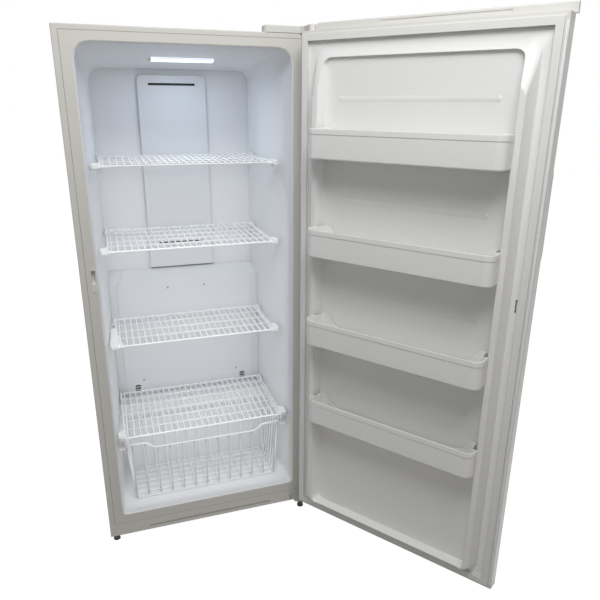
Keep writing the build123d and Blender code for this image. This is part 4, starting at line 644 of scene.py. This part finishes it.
# ================================================================ wires
def rounded(points, radius, closed=False):
    """The points of a wire whose corners are bent to a radius."""
    count = len(points)
    path = []
    for i, point in enumerate(points):
        here = Vector(point)
        if not closed and i in (0, count - 1):
            path.append(here)
            continue
        before = Vector(points[i - 1]) - here
        after = Vector(points[(i + 1) % count]) - here
        reach = min(radius, before.length * BEND_SHARE, after.length * BEND_SHARE)
        first = here + before.normalized() * reach
        last = here + after.normalized() * reach
        for step in range(BEND_STEPS + 1):
            t = step / BEND_STEPS
            path.append(first * (1 - t) ** 2 + here * (2 * t * (1 - t)) + last * t ** 2)
    return path


def add_tube(verts, faces, path, radius, closed=False):
    """Sweeps a round section along a path, with its frame carried along it."""
    count = len(path)
    first_ring = len(verts)
    run = (path[1] - path[0]).normalized()
    side = run.orthogonal().normalized()
    for i, point in enumerate(path):
        ahead = path[(i + 1) % count] if closed or i + 1 < count else point
        behind = path[i - 1] if closed or i else point
        run = (ahead - behind).normalized()
        side = (side - run * side.dot(run)).normalized()
        other = run.cross(side)
        for k in range(WIRE_SIDES):
            turn = math.tau * k / WIRE_SIDES
            verts.append(point + (side * math.cos(turn) + other * math.sin(turn)) * radius)
    rings = count if closed else count - 1
    for i in range(rings):
        a = first_ring + i * WIRE_SIDES
        b = first_ring + ((i + 1) % count) * WIRE_SIDES
        for k in range(WIRE_SIDES):
            n = (k + 1) % WIRE_SIDES
            faces.append((a + k, a + n, b + n, b + k))
    if not closed:
        last = first_ring + (count - 1) * WIRE_SIDES
        faces.append(tuple(first_ring + k for k in reversed(range(WIRE_SIDES))))
        faces.append(tuple(last + k for k in range(WIRE_SIDES)))


def wire_piece(name, node, runs):
    """One mesh of coated wires that stands for a node on its own body.

    A run is its points, the radius of the wire, the radius of its bends and whether it closes on itself."""
    verts = []
    faces = []
    for points, radius, bend, closed in runs:
        add_tube(verts, faces, rounded(points, bend, closed), radius, closed)
    new_piece(name, verts, faces, node, "wire_white", node).data.shade_smooth()


def shelf_wires(number):
    """A shelf: a frame with cross bars, and wires over them that turn down at the front and at the rear."""
    node = "shelf_" + str(number)
    low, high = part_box(node)
    top = high.z - WIRE_R
    under = low.z + FRAME_R
    half = high.x - FRAME_R + SHELF_WIDER[number - 1]
    front, rear = low.y + FRAME_R, high.y - FRAME_R
    runs = [([(-half, front, under), (half, front, under), (half, rear, under), (-half, rear, under)],
             FRAME_R, SHELF_FRAME_BEND, True)]
    rows = SHELF_ROWS[number - 1]
    for row in range(1, rows - 1):
        y = front + row * (rear - front) / (rows - 1)
        runs.append(([(-half, y, under), (half, y, under)], FRAME_R, 0, False))
    front, rear = low.y + WIRE_R, high.y - WIRE_R
    for wire in range(SHELF_WIRES):
        x = -half + (wire + 0.5) * 2 * half / SHELF_WIRES
        runs.append(([(x, front, under), (x, front, top), (x, rear, top), (x, rear, under)],
                     WIRE_R, SHELF_WIRE_BEND, False))
    wire_piece(node + "_wires", node, runs)


def basket_wires():
    """The basket: a rim that dips at the front, and wires both ways that run down, under and up again."""
    low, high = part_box("basket")
    rim = high.z - RIM_R
    dip = rim - RIM_DIP
    floor = low.z + FRAME_R + WIRE_R
    under = floor - 2 * WIRE_R
    half = high.x - RIM_R
    floor_half = half - BASKET_SIDE_LEAN
    front, rear = low.y + RIM_R, high.y - RIM_R
    floor_front, floor_rear = front + BASKET_FRONT_LEAN, rear - BASKET_REAR_LEAN
    inside = RIM_R + WIRE_R
    ring = [(-half, rear, rim), (-half, front, rim), (-RIM_DIP_OUTER, front, rim),
            (-RIM_DIP_INNER, front, dip), (RIM_DIP_INNER, front, dip), (RIM_DIP_OUTER, front, rim),
            (half, front, rim), (half, rear, rim)]
    runs = [(ring, RIM_R, RIM_BEND, True)]
    for wire in range(BASKET_WIRES):
        x = -floor_half + wire * 2 * floor_half / (BASKET_WIRES - 1)
        top = dip if abs(x) <= RIM_DIP_INNER + MM else rim
        runs.append(([(x, front + inside, top), (x, floor_front, floor), (x, floor_rear, floor),
                      (x, rear - inside, rim)], WIRE_R, BASKET_BEND, False))
    for row in range(BASKET_ROWS):
        share = row / (BASKET_ROWS - 1)
        y = floor_front + share * (floor_rear - floor_front)
        top_y = front + BASKET_ROW_INSET + share * (rear - front - 2 * BASKET_ROW_INSET)
        runs.append(([(-half + inside, top_y, rim), (-floor_half, y, under), (floor_half, y, under),
                      (half - inside, top_y, rim)], WIRE_R, BASKET_BEND, False))
    wire_piece("basket_wires", "basket", runs)


# ================================================================ trim of the food space
def wall_x(y):
    """Half the width of the food space at a place along Y."""
    return MOUTH_HALF - (MOUTH_HALF - REAR_HALF) * (y - MOUTH_Y) / ROOM_DEPTH


def add_prism(verts, faces, points, shift):
    """A flat outline of corners, moved along a vector into a solid."""
    first = len(verts)
    count = len(points)
    verts.extend(Vector(point) for point in points)
    verts.extend(Vector(point) + Vector(shift) for point in points)
    faces.append(tuple(first + k for k in range(count)))
    faces.append(tuple(first + count + k for k in reversed(range(count))))
    for k in range(count):
        n = (k + 1) % count
        faces.append((first + k, first + count + k, first + count + n, first + n))


def trim_piece(name, verts, faces, body, slot, *nodes):
    """A flat-faced piece whose faces all look outwards."""
    piece = new_piece(name, verts, faces, body, slot, *nodes)
    work = bmesh.new()
    work.from_mesh(piece.data)
    bmesh.ops.recalc_face_normals(work, faces=work.faces)
    work.to_mesh(piece.data)
    work.free()
    return piece


def shelf_caps(number):
    """The moulded ends of a shelf, with a web and a corner plate at the front and a clip at the rear."""
    shelf = "shelf_" + str(number)
    node = shelf + "_caps"
    low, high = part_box(node)
    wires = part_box(shelf)[1].x + SHELF_WIDER[number - 1]
    foot = high.z - CAP_T
    front, rear = low.y, high.y
    inner = wires - CAP_LAP
    verts = []
    faces = []
    for side in (-1, 1):
        end = front + (CAP_LONG_RUN if (number, side) == LONG_CAP else CAP_RUN)
        out = min(CAP_OUT[side] if number < len(SHELF_ROWS) else high.x, wall_x(front) - CAP_GAP)
        far = min(out - CAP_TAPER, wall_x(end) - CAP_GAP)
        plan = [(inner, front), (out - CAP_NOSE, front), (out, front + CAP_NOSE_RUN),
                (far, end - CAP_TAIL_RUN), (inner + CAP_TAIL, end), (inner, end)]
        add_prism(verts, faces, [(side * x, y, foot) for x, y in plan], (0, 0, CAP_T))

        lap = inner + CORNER_PLATE_LAP
        start = front + CORNER_PLATE_FRONT
        height = foot + CORNER_PLATE_LIFT
        plate = [(inner - CORNER_PLATE, start), (lap, start), (lap, end - CORNER_PLATE_REAR)]
        add_prism(verts, faces, [(side * x, y, height) for x, y in plate], (0, 0, CORNER_PLATE_T))

        web_x = side * (inner + WEB_INSET)
        web = [(front + WEB_FRONT, foot + WEB_LAP), (front + CAP_RUN, foot + WEB_LAP),
               (front + WEB_TIP, foot - WEB_DROP)]
        add_prism(verts, faces, [(web_x, y, z) for y, z in web], (side * WEB_T, 0, 0))

        back = min(wires + CLIP_PROUD, wall_x(rear) - CLIP_GAP)
        clip = [(inner, rear - CAP_RUN), (back, rear - CAP_RUN + CLIP_SLOPE), (back, rear), (inner, rear)]
        add_prism(verts, faces, [(side * x, y, foot) for x, y in clip], (0, 0, CAP_T))
    caps = trim_piece(node + "_moulded", verts, faces, shelf, "cap_white", node)
    edge = caps.modifiers.new("round_edges", "BEVEL")
    edge.width = CAP_ROUND
    edge.segments = CAP_ROUND_STEPS
    smooth_runs(caps)


def cover_edges():
    """The flanges that run from the coil cover to the walls, set just behind its face and its slope."""
    low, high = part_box("evaporator_cover")
    face = low.y + COVER_EDGE
    line = [(face, low.z + COVER_END), (face, COVER_BROW_Z - COVER_EDGE),
            (high.y - COVER_END, high.z - COVER_EDGE)]
    inner = high.x - COVER_LAP
    verts = []
    faces = []
    for side in (-1, 1):
        for (y0, z0), (y1, z1) in zip(line, line[1:]):
            corners = [(side * inner, y0, z0), (side * (wall_x(y0) - FLANGE_GAP), y0, z0),
                       (side * (wall_x(y1) - FLANGE_GAP), y1, z1), (side * inner, y1, z1)]
            run = Vector((0, y1 - y0, z1 - z0)).normalized()
            add_prism(verts, faces, corners, Vector((0, run.z, -run.y)) * FLANGE_T)
    trim_piece("cover_flanges", verts, faces, "cabinet", "cover_white")


def slot_backs():
    """Dark sheets behind the two air slots of the duct cover, painted shade that darkens the slots."""
    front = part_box("duct_cover")[0].y + SLOT_SHADE_SET_BACK
    middle = front + SLOT_SHADE_DEPTH
    back = middle + SLOT_SHADE_T
    verts = []
    faces = []
    for z in AIR_SLOT_Z:
        profile = [(front, z - SLOT_SHADE_RISE), (middle, z - SLOT_SHADE_FLAT), (middle, z + SLOT_SHADE_FLAT),
                   (front, z + SLOT_SHADE_RISE), (back, z + SLOT_SHADE_RISE), (back, z - SLOT_SHADE_RISE)]
        corners = [(-SLOT_SHADE_HALF, y, height) for y, height in profile]
        add_prism(verts, faces, corners, (2 * SLOT_SHADE_HALF, 0, 0))
    # The sheets take a black finish: painted shade in the slots.
    trim_piece("slot_painted_shade", verts, faces, "cabinet", "foot_black")


# ================================================================ door bins
def from_closed(point):
    """A point of the closed door, carried to where the door stands open."""
    return PIN + Matrix.Rotation(DOOR_OPEN, 3, "Z") @ (Vector(point) - PIN)


def closed_box(node):
    """The box of a node of the door, in the frame where the door is closed."""
    back = Matrix.Rotation(-DOOR_OPEN, 3, "Z")
    points = [PIN + back @ (v.co - PIN) for v in frame["nodes"][node].data.vertices]
    low = Vector([min(p[axis] for p in points) for axis in range(3)])
    high = Vector([max(p[axis] for p in points) for axis in range(3)])
    return low, high


def arc(centre, radius, start):
    """A quarter turn of points round a centre."""
    turns = [start + math.pi / 2 * k / ARC_POINTS for k in range(ARC_POINTS + 1)]
    return [(centre[0] + radius * math.cos(turn), centre[1] + radius * math.sin(turn)) for turn in turns]


def bin_ring(half, back, front, inset):
    """The outline of a bin seen from above at an inset. A negative inset widens only the front part."""
    inner = max(inset, 0)
    narrow = half - BIN_BACK_INSET - inner
    wide = half - inset
    step = back + BIN_STEP + inner
    corner = BIN_CORNER - inset
    line = [(-narrow + 2 * narrow * k / BACK_POINTS, back + inner) for k in range(BACK_POINTS + 1)]
    line.extend([(narrow, step), (wide, step)])
    line.extend(arc((wide - corner, front - inset - corner), corner, 0))
    line.extend(arc((-wide + corner, front - inset - corner), corner, math.pi / 2))
    line.extend([(-wide, step), (-narrow, step)])
    return line


def arch_drop(x, narrow):
    """How far the back wall's rim has fallen at a place along it."""
    run = (narrow - BIN_EAR - abs(x)) / BIN_ARCH_RUN
    run = min(max(run, 0), 1)
    return BIN_ARCH_DROP * math.sqrt(1 - (1 - run) ** 2)


def bin_shell(number):
    """A moulded bin with round corners, a turned rim and a dipped back, made as one skin."""
    node = "bin_" + str(number)
    low, high = closed_box(node)
    half = (high.x - low.x) / 2 - BIN_PROUD
    middle = (high.x + low.x) / 2
    back, front = low.y, high.y - BIN_PROUD
    floor, rim = low.z, high.z
    narrow = half - BIN_BACK_INSET
    verts = []
    faces = []
    for inset, height, from_rim in BIN_SKIN:
        for i, (x, y) in enumerate(bin_ring(half, back, front, inset * MM)):
            z = floor + height * MM
            if from_rim:
                drop = arch_drop(x, narrow) if i <= BACK_POINTS else 0
                z = max(rim - height * MM - drop, floor + BIN_LEAST_WALL)
            verts.append(from_closed((middle + x, y, z)))
    count = len(verts) // len(BIN_SKIN)
    for ring in range(len(BIN_SKIN) - 1):
        a, b = ring * count, (ring + 1) * count
        faces.extend((a + k, a + (k + 1) % count, b + (k + 1) % count, b + k) for k in range(count))
    faces.append(tuple(reversed(range(count))))
    faces.append(tuple(range(len(verts) - count, len(verts))))
    shell = new_piece(node + "_shell", verts, faces, node, "bin_white", node)
    shell.data.shade_smooth()
    smooth_runs(shell)


# ================================================================ the object
# The nodes whose plastic is a tone off the rest of their slot.
OTHER_TONES = {"door_liner": "door_white", "door_top_cap": "trim_white", "door_bottom_cap": "trim_white",
               "top_hinge_cover": "trim_white", "door_handle": "trim_white", "keeper_plate": "trim_white"}


def paint_nodes():
    """Gives every node of the frame the finish of its own material slot."""
    slots = {part["node"]: part["material_slot"] for part in frame["record"]["subparts"]}
    for node, piece in frame["nodes"].items():
        name = slots[node]
        smooth_runs(piece)
        piece.data.materials.clear()
        piece.data.materials.append(FINISHES[OTHER_TONES.get(node, name)])


paint_nodes()
for shelf_number in range(1, len(SHELF_ROWS) + 1):
    shelf_wires(shelf_number)
    shelf_caps(shelf_number)
basket_wires()
cover_edges()
slot_backs()
for bin_number in range(1, BINS + 1):
    bin_shell(bin_number)
make_camera()
make_lights()
make_world()
make_floor()
bpy.context.scene.view_settings.view_transform = "Standard"
